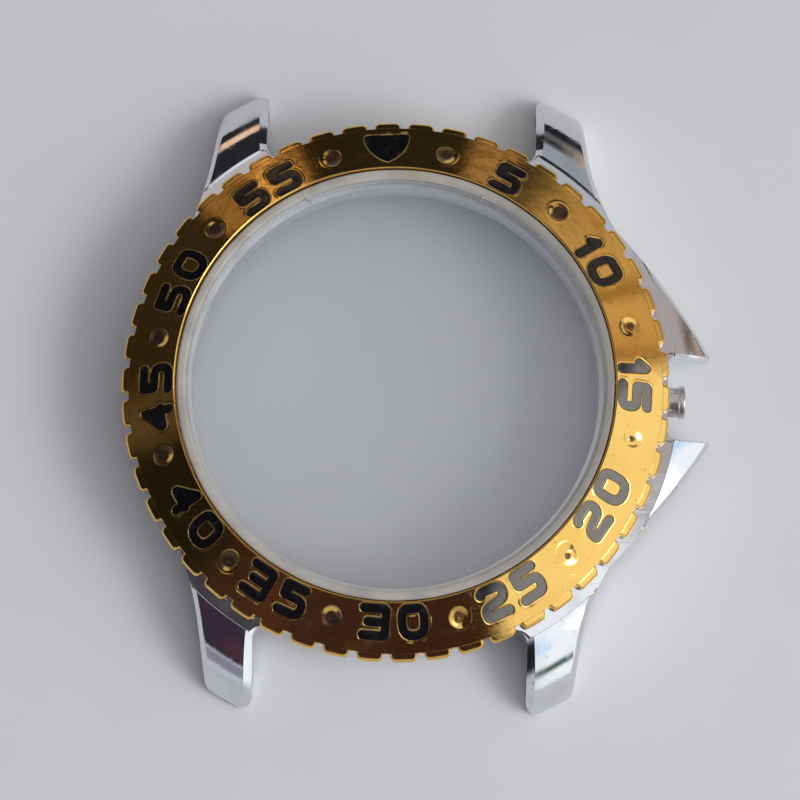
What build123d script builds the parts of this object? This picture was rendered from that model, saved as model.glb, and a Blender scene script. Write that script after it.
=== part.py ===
from build123d import *
import os
from math import atan2, cos, degrees, hypot, pi, radians, sin, sqrt

# An empty wrist watch case: a cast and plated case middle with four strap lugs and two crown
# guards, its glass and white glass gasket, a gilt timing bezel that turns on the neck, and the
# tube that a winding crown would screw or slide on. There is no movement, dial, hand, crown,
# case back or strap.
# Millimetres. The origin is on the case axis, in the plane of the back rim where a case back
# would close it. +Z goes out through the glass, +Y to twelve o'clock, +X to the crown tube.

# Glass, its gasket and the neck that holds them, from the axis outwards
crystal_radius = 15.15
crystal_thickness = 1.60
crystal_edge_bevel = 0.15
gasket_wall = 0.40
gasket_flange = 0.32
gasket_edge_bevel = 0.08
gasket_sink = 0.06
neck_wall = 0.32
press_gap = 0.01
rehaut_lip = 0.30

# Bezel
bezel_radius = 20.05
bezel_running_gap = 0.08
bezel_lift = 0.15
tooth_count = 50
tooth_depth = 0.55
tooth_gap_radius = 0.42
tooth_corner = 0.16
tooth_height = 0.92
tooth_fall = 0.09
tooth_edge_bevel = 0.12
band_rise = 2.24
band_inner_bevel = 0.14
bezel_roof = 0.50
bezel_rim_wall = 1.15
# The timing bezel is stored as it was left, a little short of twelve, turned anticlockwise.
bezel_set_angle = 3.0

# Markings sunk in the bezel's band
pocket_depth = 0.24
enamel_sink = 0.05
enamel_gap = 0.01
digit_height = 2.50
digit_width = 2.28
pen_width = 0.66
digit_pitch_angle = 9.25
one_width = 1.20
one_offset_angles = [-4.6, 2.6]
numeral_radius = 17.41
triangle_width = 3.40
triangle_height = 2.40
triangle_corner = 0.30
triangle_radius = 17.75
dimple_radius = 0.76
dimple_depth = 0.26
dimple_ring_radius = 17.60
# The markings and the dimples between them stand a little unevenly round the bezel. Their angles
# run clockwise from the bezel's own twelve.
marking_angles = {
    "triangle": -0.3, "05": 29.9, "10": 60.1, "15": 91.8, "20": 122.1, "25": 153.0,
    "30": 182.1, "35": 211.6, "40": 238.4, "45": 268.6, "50": 297.8, "55": 329.2,
}
dimple_angles = [13.9, 44.4, 77.5, 104.7, 136.7, 166.6, 196.9, 224.7, 254.7, 283.1, 313.1, 346.2]
# Numerals from the first to the last of these stand the other way up, so that they can be read
# at the bottom of the bezel.
first_turned_minute = 20
last_turned_minute = 40

# Case middle
barrel_radius = 19.30
deck_height = 4.30
seat_radius = 20.70
shoulder_radius = 18.90
shoulder_rise = 0.50
back_bore_radius = 16.90
back_bore_depth = 1.00
back_rim_bevel = 0.45
movement_bore_radius = 15.40
rehaut_depth = 2.45
snap_groove_height = 0.30
snap_groove_depth = 0.12
back_seal_margin = 0.35
back_seal_width = 0.70
back_seal_depth = 0.30
pry_notch_width = 5.00
pry_notch_depth = 0.45
pry_notch_angle = 225
top_edge_bevel = 0.32

# Lugs
strap_gap = 20.00
lug_reach = 25.50
lug_drop = 0.60
lug_foot_sag = 0.15
lug_tip_height = 1.05
lug_tip_width = 3.45
lug_waist_width = 3.85
lug_waist_y = 18.40
lug_root_fillet = 1.20
lug_tip_corner = 0.90
lug_inner_corner = 0.75
lug_under_radius = 23.60
lug_start_slope = 4.0
lug_inner_bevel = 0.60
lug_bevel_start_y = 17.30
left_flank_x = 15.95
left_flank_y = 10.70
right_flank_x = 16.00
right_flank_y = 12.40
spring_bar_y = 21.30
spring_bar_z = 1.25
spring_bar_hole_radius = 0.50
spring_bar_hole_depth = 1.60

# Crown guards and the crown tube between them
guard_gap = 6.20
guard_reach = 23.20
guard_flank_sag = 0.28
recess_corner = 0.60
guard_under_rise = 0.75
recess_flat_x = 19.95
tube_axis_z = 2.15
tube_body_radius = 1.02
tube_neck_radius = 1.10
tube_lip_radius = 1.22
tube_lip_length = 0.42
tube_bore_radius = 0.78
tube_end_x = 21.30
tube_inner_x = 15.70
tube_edge_bevel = 0.10

# Bezel mechanism under the band
wire_radius = 0.25
wire_height = 1.22
wire_bite = 0.20
wire_gap_angle = 24
wire_clearance = 0.05
seal_clearance = 0.05
spring_width = 1.55
spring_margin = 0.35
spring_thickness = 0.20
spring_tongue_count = 3
tongue_width = 0.70
tongue_length = 1.70
tongue_clearance = 0.06
spring_ear_count = 2
spring_ear_width = 0.80
spring_ear_depth = 0.60
spring_ear_angle = 20
ear_clearance = 0.05
ratchet_count = 60
ratchet_depth = 0.20
ratchet_ramp_share = 0.75

# A cut runs this far past the faces it opens.
overrun = 1.0
# Points closer together than this are one point.
same_point = 0.001
# A face counts as upright when its normal rises less than this.
face_tolerance = 0.001
# A cylinder stands on its base.
stand = (Align.CENTER, Align.CENTER, Align.MIN)

# Worked out from the sizes above
gasket_radius = crystal_radius + press_gap + gasket_wall
neck_bore_radius = gasket_radius + press_gap
neck_radius = neck_bore_radius + neck_wall
rehaut_radius = crystal_radius - rehaut_lip
bezel_bore_radius = neck_radius + bezel_running_gap
band_edge_radius = bezel_radius - tooth_depth
band_inner_radius = bezel_bore_radius + band_inner_bevel
bezel_base = deck_height + bezel_lift
tooth_top = bezel_base + tooth_height
band_edge_height = tooth_top + tooth_fall
bezel_top = band_edge_height + band_rise
band_slope = band_rise / (band_edge_radius - band_inner_radius)
crystal_top = bezel_top
ledge_height = crystal_top - crystal_thickness
gasket_top = bezel_top - gasket_sink
neck_top = gasket_top - gasket_flange - press_gap
rehaut_base = ledge_height - rehaut_depth
shoulder_height = deck_height + shoulder_rise
lug_inner_x = strap_gap / 2
lug_tip_top = lug_tip_height - lug_drop
guard_inner_y = guard_gap / 2
wire_centre_z = deck_height + wire_height
wire_ring_radius = neck_radius - wire_bite + wire_radius
bezel_recess_radius = bezel_radius - bezel_rim_wall
bezel_roof_height = bezel_base + bezel_roof
seal_radius = (bezel_roof_height - deck_height) / 2 - seal_clearance
spring_outer_radius = bezel_recess_radius - spring_margin
spring_inner_radius = spring_outer_radius - spring_width
spring_ear_radius = spring_inner_radius + spring_thickness / 2
ratchet_radius = (spring_inner_radius + spring_outer_radius) / 2

# The bezel's own plane is turned by the angle at which the bezel was left.
bezel_plane = Plane(
    origin=(0, 0, 0),
    x_dir=(cos(radians(bezel_set_angle)), sin(radians(bezel_set_angle)), 0),
    z_dir=(0, 0, 1),
)

# Each digit is drawn with a round pen along these lines, given as shares of the room that the
# pen leaves in the digit's box, from the middle of the box.
digit_path_shares = {
    "0": [[(-0.50, 0.22), (-0.22, 0.50), (0.22, 0.50), (0.50, 0.22), (0.50, -0.22),
           (0.22, -0.50), (-0.22, -0.50), (-0.50, -0.22), (-0.50, 0.22)]],
    "1": [[(-0.50, 0.30), (0.20, 0.50), (0.20, -0.50)]],
    "2": [[(-0.50, 0.38), (-0.30, 0.50), (0.25, 0.50), (0.50, 0.30), (0.40, 0.06),
           (-0.35, -0.16), (-0.50, -0.34), (-0.42, -0.50), (0.50, -0.50)]],
    "3": [[(-0.50, 0.50), (0.28, 0.50), (0.50, 0.34), (0.50, -0.34), (0.28, -0.50),
           (-0.50, -0.50)], [(-0.30, 0.00), (0.50, 0.00)]],
    "4": [[(0.24, -0.50), (0.24, 0.50), (-0.50, -0.14), (0.50, -0.14)]],
    "5": [[(0.46, 0.50), (-0.42, 0.50), (-0.46, 0.08), (0.22, 0.08), (0.50, -0.12),
           (0.50, -0.28), (0.22, -0.50), (-0.50, -0.50)]],
}


def band_height(radius):
    """The height of the bezel's sloping band at a distance from the axis."""
    return bezel_top - (radius - band_inner_radius) * band_slope


def is_near(value, target):
    """Whether two lengths are the same, within the tolerance of the drawing."""
    return abs(value - target) < same_point


def save(piece, name):
    """Label a finished piece and write it under its own name."""
    piece.label = name
    export_step(piece, f"parts/{name}.step")


def draw_digit(digit, pen):
    """Draw one digit with a round pen, in the sketch that is open."""
    width = one_width if digit == "1" else digit_width
    across = width - pen_width
    up = digit_height - pen_width
    for path in digit_path_shares[digit]:
        points = [Vector(x * across, y * up) for x, y in path]
        for start, end in zip(points, points[1:]):
            stroke = end - start
            middle = (start + end) / 2
            turn = degrees(atan2(stroke.Y, stroke.X))
            with Locations(Location((middle.X, middle.Y, 0), (0, 0, turn))):
                SlotCenterToCenter(stroke.length, pen)


def on_reach(x):
    """The height on the drawing of the circle that cuts off the lugs, at a distance across."""
    return sqrt(lug_reach**2 - x**2)


def arc_on_circle(start, end, radius):
    """Draw the arc from one point to another of a circle round the axis."""
    middle = Vector(*start) + Vector(*end)
    middle = middle.normalized() * radius
    ThreePointArc(start, middle, end)


def draw_lug_end(side):
    """Draw one lug's inner side, its end and its outer side, as far as its waist."""
    inner_x = side * lug_inner_x
    outer_x = side * (lug_inner_x + lug_tip_width)
    waist = (side * (lug_inner_x + lug_waist_width), lug_waist_y)
    inner_tip = (inner_x, on_reach(inner_x))
    outer_tip = (outer_x, on_reach(outer_x))
    Line((inner_x, 0), inner_tip)
    arc_on_circle(inner_tip, outer_tip, lug_reach)
    Line(outer_tip, waist)
    return waist, Vector(*waist) - Vector(*outer_tip)


def make_outline():
    """The case middle from above: the barrel, four lugs and two crown guards."""
    with BuildSketch(Plane.XY.offset(-lug_drop)) as outline:
        Circle(barrel_radius)
        with BuildLine():
            waist, heading = draw_lug_end(1)
            flank = (right_flank_x, right_flank_y)
            guard_tip = (guard_reach, guard_inner_y)
            TangentArc(waist, flank, tangent=heading)
            SagittaArc(flank, guard_tip, guard_flank_sag)
            Polyline(guard_tip, (recess_flat_x, guard_inner_y), (recess_flat_x, 0), (lug_inner_x, 0))
        make_face()
        with BuildLine():
            waist, heading = draw_lug_end(-1)
            flank = (-left_flank_x, left_flank_y)
            TangentArc(waist, flank, tangent=heading)
            Polyline(flank, (-left_flank_x, 0), (-lug_inner_x, 0))
        make_face()
        mirror(about=Plane.XZ)
        roots = outline.vertices().filter_by(lambda v: is_near(hypot(v.X, v.Y), barrel_radius))
        fillet(roots, lug_root_fillet)
        ends = outline.vertices().filter_by(lambda v: is_near(hypot(v.X, v.Y), lug_reach))
        fillet([v for v in ends if not is_near(abs(v.X), lug_inner_x)], lug_tip_corner)
        ends = outline.vertices().filter_by(lambda v: is_near(hypot(v.X, v.Y), lug_reach))
        fillet([v for v in ends if is_near(abs(v.X), lug_inner_x)], lug_inner_corner)
        corners = outline.vertices().filter_by(lambda v: is_near(v.X, recess_flat_x))
        fillet(corners, recess_corner)
    return outline.sketch


def shoulder_fall(radius):
    """The height of the lugs' domed top, on an arc that starts at a slope and ends at the tips."""
    run = lug_reach - shoulder_radius
    drop = shoulder_height - lug_tip_top
    slope = radians(lug_start_slope)
    arc_radius = (run**2 + drop**2) / (2 * (drop * cos(slope) - run * sin(slope)))
    centre_radius = shoulder_radius - arc_radius * sin(slope)
    centre_height = shoulder_height - arc_radius * cos(slope)
    return centre_height + sqrt(arc_radius**2 - (radius - centre_radius) ** 2)


def make_lug_bevel_cut(side):
    """The room above the bevel along the inner side of one lug, which follows the domed top."""
    bevel_x = lug_inner_x + lug_inner_bevel
    reaches = [lug_bevel_start_y, spring_bar_y, lug_reach]
    points = [(y, shoulder_fall(min(hypot(bevel_x, y), lug_reach))) for y in reaches]
    with BuildPart() as cut:
        with BuildSketch(Plane.YZ.offset(side * bevel_x)):
            with BuildLine():
                ThreePointArc(*points)
                Polyline(
                    points[2],
                    (lug_reach, shoulder_height + overrun),
                    (lug_bevel_start_y, shoulder_height + overrun),
                    points[0],
                )
            make_face()
        extrude(amount=lug_inner_bevel + overrun, dir=(-side, 0, -1))
        mirror(about=Plane.XZ)
    return cut.part


def make_shoulder_cut():
    """The room above the lugs: their tops fall away as one surface turned round the axis."""
    slope = radians(lug_start_slope)
    with BuildPart() as cut:
        with BuildSketch(Plane.XZ):
            with BuildLine():
                start = (shoulder_radius, shoulder_height)
                end = (lug_reach, lug_tip_top)
                TangentArc(start, end, tangent=(cos(slope), -sin(slope)))
                Polyline(
                    end,
                    (lug_reach + overrun, lug_tip_top),
                    (lug_reach + overrun, shoulder_height + overrun),
                    (shoulder_radius, shoulder_height + overrun),
                    start,
                )
            make_face()
        revolve(axis=Axis.Z)
    return cut.part


def make_under_cut():
    """The room below the back rim, down to the lugs' feet, turned round the axis."""
    floor = -lug_drop - overrun
    with BuildPart() as cut:
        with BuildSketch(Plane.XZ):
            with BuildLine():
                Polyline(
                    (barrel_radius, back_rim_bevel),
                    (barrel_radius - back_rim_bevel, 0),
                    (0, 0),
                    (0, floor),
                    (lug_under_radius, floor),
                    (lug_under_radius, -lug_drop),
                )
                SagittaArc((lug_under_radius, -lug_drop), (barrel_radius, back_rim_bevel), lug_foot_sag)
            make_face()
        revolve(axis=Axis.Z)
    return cut.part


def make_guard_cut():
    """The sloping room below the crown guards."""
    with BuildPart() as cut:
        with BuildSketch(Plane.XZ):
            run = guard_reach - barrel_radius
            with BuildLine():
                Polyline(
                    (barrel_radius, back_rim_bevel),
                    (guard_reach + run, back_rim_bevel + 2 * guard_under_rise),
                    (guard_reach + run, -lug_drop - overrun),
                    (barrel_radius - run, -lug_drop - overrun),
                    (barrel_radius - run, back_rim_bevel - guard_under_rise),
                    close=True,
                )
            make_face()
        extrude(amount=lug_reach, both=True)
    return cut.part


def make_bore_cut():
    """Everything taken out round the axis, from the case back's seat up to the glass's."""
    seal_outer = back_bore_radius - back_seal_margin
    seal_inner = seal_outer - back_seal_width
    groove_middle = back_bore_depth - snap_groove_height / 2
    with BuildPart() as cut:
        with BuildSketch(Plane.XZ):
            with BuildLine():
                Polyline(
                    (0, -overrun),
                    (back_bore_radius, -overrun),
                    (back_bore_radius, back_bore_depth - snap_groove_height),
                    (back_bore_radius + snap_groove_depth, groove_middle),
                    (back_bore_radius, back_bore_depth),
                    (seal_outer, back_bore_depth),
                    (seal_outer, back_bore_depth + back_seal_depth),
                    (seal_inner, back_bore_depth + back_seal_depth),
                    (seal_inner, back_bore_depth),
                    (movement_bore_radius, back_bore_depth),
                    (movement_bore_radius, rehaut_base),
                    (rehaut_radius, rehaut_base),
                    (rehaut_radius, ledge_height),
                    (neck_bore_radius, ledge_height),
                    (neck_bore_radius, neck_top + overrun),
                    (0, neck_top + overrun),
                    close=True,
                )
            make_face()
        revolve(axis=Axis.Z)
    return cut.part


def make_wire_groove():
    """The room for the retaining wire, half in the neck and half in the bezel's bore."""
    wire_room = wire_radius + wire_clearance
    with BuildPart() as groove:
        with BuildSketch(Plane.XZ):
            with Locations((wire_ring_radius, wire_centre_z)):
                Rectangle(2 * wire_room, 2 * wire_room)
        revolve(axis=Axis.Z)
    return groove.part


def make_case_middle():
    """The cast case body, from its lug feet to the neck that carries the glass and the bezel."""
    outline = make_outline()
    shoulder_cut = make_shoulder_cut()
    under_cut = make_under_cut()
    guard_cut = make_guard_cut()
    bore_cut = make_bore_cut()
    wire_groove = make_wire_groove()
    bevel_cuts = [make_lug_bevel_cut(side) for side in (-1, 1)]
    tube_bore_depth = recess_flat_x - movement_bore_radius
    with BuildPart() as case_middle:
        extrude(outline, amount=shoulder_height + lug_drop)
        add(shoulder_cut, mode=Mode.SUBTRACT)
        walls = case_middle.faces().filter_by(lambda f: abs(f.normal_at().Z) < face_tolerance)
        tops = case_middle.faces().filter_by(lambda f: f.normal_at().Z > face_tolerance)
        rim = [edge for edge in tops.edges() if edge in walls.edges()]
        chamfer(rim, top_edge_bevel)
        for bevel_cut in bevel_cuts:
            add(bevel_cut, mode=Mode.SUBTRACT)
        add(under_cut, mode=Mode.SUBTRACT)
        add(guard_cut, mode=Mode.SUBTRACT)
        with Locations((0, 0, deck_height)):
            Cylinder(seat_radius, shoulder_height, align=stand, mode=Mode.SUBTRACT)
            Cylinder(neck_radius, neck_top - deck_height, align=stand)
        add(bore_cut, mode=Mode.SUBTRACT)
        add(wire_groove, mode=Mode.SUBTRACT)
        # The crown tube's bore goes in level with the middle of the case.
        with BuildSketch(Plane.YZ.offset(movement_bore_radius - overrun)):
            with Locations((0, tube_axis_z)):
                Circle(tube_body_radius + press_gap)
        extrude(amount=tube_bore_depth + 2 * overrun, mode=Mode.SUBTRACT)
        # Blind holes for the spring bars, one in the inner side of each lug
        for side in (-1, 1):
            mouth = Plane.YZ.offset(side * (lug_inner_x - overrun))
            with BuildSketch(mouth):
                with Locations((spring_bar_y, spring_bar_z), (-spring_bar_y, spring_bar_z)):
                    Circle(spring_bar_hole_radius)
            extrude(amount=side * (spring_bar_hole_depth + overrun), mode=Mode.SUBTRACT)
        # A notch in the back rim, where a case knife lifts the back
        with BuildSketch(Plane.XY):
            with PolarLocations(back_bore_radius + pry_notch_width / 2, 1, start_angle=pry_notch_angle):
                Rectangle(pry_notch_width, pry_notch_width)
        extrude(amount=pry_notch_depth, mode=Mode.SUBTRACT)
        # Two slots in the deck hold the ears of the click spring.
        with BuildSketch(Plane.XY.offset(deck_height)):
            with PolarLocations(spring_ear_radius, spring_ear_count, start_angle=spring_ear_angle):
                Rectangle(
                    spring_thickness + 2 * ear_clearance,
                    spring_ear_width + 2 * ear_clearance,
                )
        extrude(amount=-(spring_ear_depth + ear_clearance), mode=Mode.SUBTRACT)
    return case_middle.part


def make_crystal():
    """The flat mineral glass, with its upper edge bevelled."""
    with BuildPart() as crystal:
        with Locations((0, 0, ledge_height)):
            Cylinder(crystal_radius, crystal_thickness, align=stand)
        chamfer(crystal.edges().sort_by(Axis.Z)[-1], crystal_edge_bevel)
    return crystal.part


def make_crystal_gasket():
    """The white ring between the glass and the neck, with a flange that covers the neck."""
    inner = crystal_radius + press_gap
    flange_base = neck_top + press_gap
    with BuildPart() as gasket:
        with BuildSketch(Plane.XZ):
            with BuildLine():
                Polyline(
                    (inner, ledge_height + press_gap),
                    (gasket_radius, ledge_height + press_gap),
                    (gasket_radius, flange_base),
                    (neck_radius, flange_base),
                    (neck_radius, gasket_top - gasket_edge_bevel),
                    (neck_radius - gasket_edge_bevel, gasket_top),
                    (inner, gasket_top),
                    close=True,
                )
            make_face()
        revolve(axis=Axis.Z)
    return gasket.part


def make_bezel_blank():
    """The bezel with its teeth, sloping band, bore and underside, before it is marked."""
    gap_centre_radius = band_edge_radius + tooth_gap_radius
    first_gap_angle = 90 + 180 / tooth_count
    wire_groove = make_wire_groove()
    with BuildPart() as blank:
        with BuildSketch(bezel_plane.offset(bezel_base)) as toothed:
            Circle(bezel_radius)
            with PolarLocations(gap_centre_radius, tooth_count, start_angle=first_gap_angle):
                Circle(tooth_gap_radius, mode=Mode.SUBTRACT)
            corners = toothed.vertices().filter_by(lambda v: is_near(hypot(v.X, v.Y), bezel_radius))
            fillet(corners, tooth_corner)
        extrude(amount=bezel_top - bezel_base)
        with BuildSketch(Plane.XZ):
            with BuildLine():
                Polyline(
                    (bezel_bore_radius, bezel_roof_height),
                    (bezel_recess_radius, bezel_roof_height),
                    (bezel_recess_radius, bezel_base),
                    (bezel_radius, bezel_base),
                    (bezel_radius, tooth_top - tooth_edge_bevel),
                    (bezel_radius - tooth_edge_bevel, tooth_top),
                    (band_edge_radius, band_edge_height),
                    (band_inner_radius, bezel_top),
                    (bezel_bore_radius, bezel_top - band_inner_bevel),
                    close=True,
                )
            make_face()
        revolve(axis=Axis.Z, mode=Mode.INTERSECT)
        add(wire_groove, mode=Mode.SUBTRACT)
    return blank.part


def make_band_skin(low, high):
    """The space between two heights below the band's sloping face, as a ring."""
    outer = band_edge_radius
    inner = band_inner_radius
    with BuildPart() as skin:
        with BuildSketch(Plane.XZ):
            with BuildLine():
                Polyline(
                    (inner, band_height(inner) - low),
                    (outer, band_height(outer) - low),
                    (outer, band_height(outer) - high),
                    (inner, band_height(inner) - high),
                    close=True,
                )
            make_face()
        revolve(axis=Axis.Z)
    return skin.part


def draw_numeral(text, angle, shrink):
    """Draw the digits of a numeral on the band, its angle counted clockwise from twelve."""
    turned = first_turned_minute <= int(text) <= last_turned_minute
    if "1" in text:
        offsets = one_offset_angles[: len(text)]
    else:
        offsets = [digit_pitch_angle * (n - (len(text) - 1) / 2) for n in range(len(text))]
    for digit, offset in zip(text, offsets):
        place = angle - offset if turned else angle + offset
        turn = 180 - place if turned else -place
        x = numeral_radius * sin(radians(place))
        y = numeral_radius * cos(radians(place))
        with Locations(Location((x, y, 0), (0, 0, turn))):
            draw_digit(digit, pen_width - 2 * shrink)


def draw_triangle(angle, shrink):
    """Draw the zero mark: a triangle with round corners that points at the axis."""
    half_width = triangle_width / 2
    half_height = triangle_height / 2
    x = triangle_radius * sin(radians(angle))
    y = triangle_radius * cos(radians(angle))
    with Locations(Location((x, y, 0), (0, 0, -angle))):
        with BuildSketch(Plane.XY, mode=Mode.PRIVATE) as mark:
            with BuildLine():
                Polyline(
                    (-half_width, half_height),
                    (half_width, half_height),
                    (0, -half_height),
                    close=True,
                )
            make_face()
            fillet(mark.vertices(), triangle_corner)
            if shrink > 0:
                offset(amount=-shrink)
        add(mark.sketch)


def make_marking(name, low, high, shrink):
    """One marking of the band as a solid between two depths below the band's face."""
    skin = make_band_skin(low, high)
    with BuildPart() as marking:
        with BuildSketch(bezel_plane.offset(bezel_base)):
            if name == "triangle":
                draw_triangle(marking_angles[name], shrink)
            else:
                draw_numeral(name.lstrip("0"), marking_angles[name], shrink)
        extrude(amount=bezel_top)
        add(skin, mode=Mode.INTERSECT)
    return marking.part


def make_ratchet_notch():
    """One saw-tooth notch in the bezel's underside, at three o'clock of the bezel."""
    pitch_length = 2 * pi * ratchet_radius / ratchet_count
    with BuildPart() as notch:
        with BuildSketch(Plane.YZ.offset(spring_inner_radius)):
            with BuildLine():
                Polyline(
                    (0, bezel_roof_height - overrun),
                    (0, bezel_roof_height + ratchet_depth),
                    (-pitch_length * ratchet_ramp_share, bezel_roof_height),
                    (-pitch_length * ratchet_ramp_share, bezel_roof_height - overrun),
                    close=True,
                )
            make_face()
        extrude(amount=spring_outer_radius - spring_inner_radius)
    return notch.part


def make_bezel():
    """The gilt bezel, with its markings sunk, its dimples and the ratchet under it."""
    blank = make_bezel_blank()
    pockets = [make_marking(name, -overrun, pocket_depth, 0) for name in marking_angles]
    notch = make_ratchet_notch()
    turns = [radians(90 - angle + bezel_set_angle) for angle in dimple_angles]
    dimple_ball = (dimple_radius**2 + dimple_depth**2) / (2 * dimple_depth)
    slope = atan2(band_rise, band_edge_radius - band_inner_radius)
    ball_out = dimple_ring_radius + (dimple_ball - dimple_depth) * sin(slope)
    ball_up = band_height(dimple_ring_radius) + (dimple_ball - dimple_depth) * cos(slope)
    with BuildPart() as bezel:
        add(blank)
        add(pockets, mode=Mode.SUBTRACT)
        with Locations([(ball_out * cos(turn), ball_out * sin(turn), ball_up) for turn in turns]):
            Sphere(dimple_ball, mode=Mode.SUBTRACT)
        with PolarLocations(0, ratchet_count, start_angle=bezel_set_angle):
            add(notch, mode=Mode.SUBTRACT)
    return bezel.part


def make_retaining_wire():
    """The open ring of round wire that holds the bezel on the neck."""
    with BuildPart() as wire:
        with BuildSketch(Plane.XZ):
            with Locations((wire_ring_radius, wire_centre_z)):
                Circle(wire_radius)
        revolve(axis=Axis.Z, revolution_arc=360 - wire_gap_angle)
    return wire.part


def make_bezel_seal():
    """The rubber ring at the foot of the neck that steadies the bezel and keeps dirt out."""
    with BuildPart() as seal:
        with BuildSketch(Plane.XZ):
            with Locations((neck_radius + seal_clearance + seal_radius, deck_height + seal_radius)):
                Circle(seal_radius)
        revolve(axis=Axis.Z)
    return seal.part


def make_spring_tongue():
    """One bent-up tongue of the click spring, its tip against the steep side of a notch."""
    tip_height = bezel_roof_height + ratchet_depth - tongue_clearance
    with BuildPart() as tongue:
        with BuildSketch(Plane.YZ.offset(ratchet_radius - tongue_width / 2)):
            with BuildLine():
                Polyline(
                    (-tongue_length, deck_height),
                    (-tongue_length, deck_height + spring_thickness),
                    (-tongue_clearance, tip_height),
                    (-tongue_clearance, tip_height - spring_thickness),
                    close=True,
                )
            make_face()
        extrude(amount=tongue_width)
    return tongue.part


def make_click_spring():
    """The flat spring ring on the deck, with bent-up tongues that click in the ratchet."""
    tongue = make_spring_tongue()
    window_width = tongue_width + 2 * tongue_clearance
    with BuildPart() as spring:
        with BuildSketch(Plane.XY.offset(deck_height)):
            Circle(spring_outer_radius)
            Circle(spring_inner_radius, mode=Mode.SUBTRACT)
            with PolarLocations(ratchet_radius, spring_tongue_count, start_angle=bezel_set_angle):
                Rectangle(
                    window_width,
                    tongue_length,
                    align=(Align.CENTER, Align.MAX),
                    mode=Mode.SUBTRACT,
                )
        extrude(amount=spring_thickness)
        with PolarLocations(0, spring_tongue_count, start_angle=bezel_set_angle):
            add(tongue)
        with Locations((0, 0, deck_height + spring_thickness)):
            with PolarLocations(spring_ear_radius, spring_ear_count, start_angle=spring_ear_angle):
                Box(
                    spring_thickness,
                    spring_ear_width,
                    spring_ear_depth + spring_thickness,
                    align=(Align.CENTER, Align.CENTER, Align.MAX),
                )
    return spring.part


def make_crown_tube():
    """The pressed-in tube that the crown's stem passes through, with its rolled outer lip."""
    lip_start = tube_end_x - tube_lip_length
    with BuildPart() as tube:
        with BuildSketch(Plane.XZ):
            with BuildLine():
                Polyline(
                    (tube_inner_x, tube_axis_z + tube_bore_radius),
                    (tube_inner_x, tube_axis_z + tube_body_radius - tube_edge_bevel),
                    (tube_inner_x + tube_edge_bevel, tube_axis_z + tube_body_radius),
                    (recess_flat_x, tube_axis_z + tube_body_radius),
                    (recess_flat_x, tube_axis_z + tube_neck_radius),
                    (lip_start, tube_axis_z + tube_neck_radius),
                    (lip_start, tube_axis_z + tube_lip_radius),
                    (tube_end_x - tube_edge_bevel, tube_axis_z + tube_lip_radius),
                    (tube_end_x, tube_axis_z + tube_lip_radius - tube_edge_bevel),
                    (tube_end_x, tube_axis_z + tube_bore_radius),
                    close=True,
                )
            make_face()
        revolve(axis=Axis(origin=(0, 0, tube_axis_z), direction=(1, 0, 0)))
    return tube.part


os.makedirs("parts", exist_ok=True)
save(make_case_middle(), "case_middle")
save(make_crystal(), "crystal")
save(make_crystal_gasket(), "crystal_gasket")
save(make_bezel(), "bezel")
for marking in marking_angles:
    fill = make_marking(marking, enamel_sink, pocket_depth - enamel_gap, enamel_gap)
    save(fill, f"enamel_{marking}")
save(make_retaining_wire(), "retaining_wire")
save(make_bezel_seal(), "bezel_seal")
save(make_click_spring(), "click_spring")
save(make_crown_tube(), "crown_tube")
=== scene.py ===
"""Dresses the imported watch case: plated case middle, gilt turning bezel, enamel, glass and gasket.

Lengths in the classes are millimetres; meshes are made in metres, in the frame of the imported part.
Angles on the bezel run clockwise from twelve, as on a watch.
"""

import logging
import math
from dataclasses import dataclass, field
from enum import Enum

import bmesh
import bpy
import numpy as np
from mathutils import Matrix

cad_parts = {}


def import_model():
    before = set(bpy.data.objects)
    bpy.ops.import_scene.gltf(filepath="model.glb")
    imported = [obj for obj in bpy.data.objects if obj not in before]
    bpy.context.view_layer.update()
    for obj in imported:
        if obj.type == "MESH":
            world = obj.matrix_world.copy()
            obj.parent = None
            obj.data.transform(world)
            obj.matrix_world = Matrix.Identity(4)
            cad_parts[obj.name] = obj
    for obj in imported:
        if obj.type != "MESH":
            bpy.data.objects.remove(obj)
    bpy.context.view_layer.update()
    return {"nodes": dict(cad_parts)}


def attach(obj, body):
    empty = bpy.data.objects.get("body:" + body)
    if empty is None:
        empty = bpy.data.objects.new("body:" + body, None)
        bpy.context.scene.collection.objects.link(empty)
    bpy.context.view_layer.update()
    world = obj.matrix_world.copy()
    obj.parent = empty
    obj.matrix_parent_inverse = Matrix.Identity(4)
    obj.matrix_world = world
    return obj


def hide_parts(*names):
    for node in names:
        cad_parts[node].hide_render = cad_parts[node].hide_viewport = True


LOG = logging.getLogger("watch_case")
MM = 0.001
# the point attribute that holds painted shade in the bezel's creases and hollows, with some grime
DIRT_AND_SHADE = "dirt_and_shade"
TRIANGLE = "triangle"

Colour = tuple[float, float, float]
Pair = tuple[float, float]
Triple = tuple[float, float, float]
Constants = tuple[tuple[str, float], ...]
Piece = bpy.types.Object
Material = bpy.types.Material


# Shader building


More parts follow.
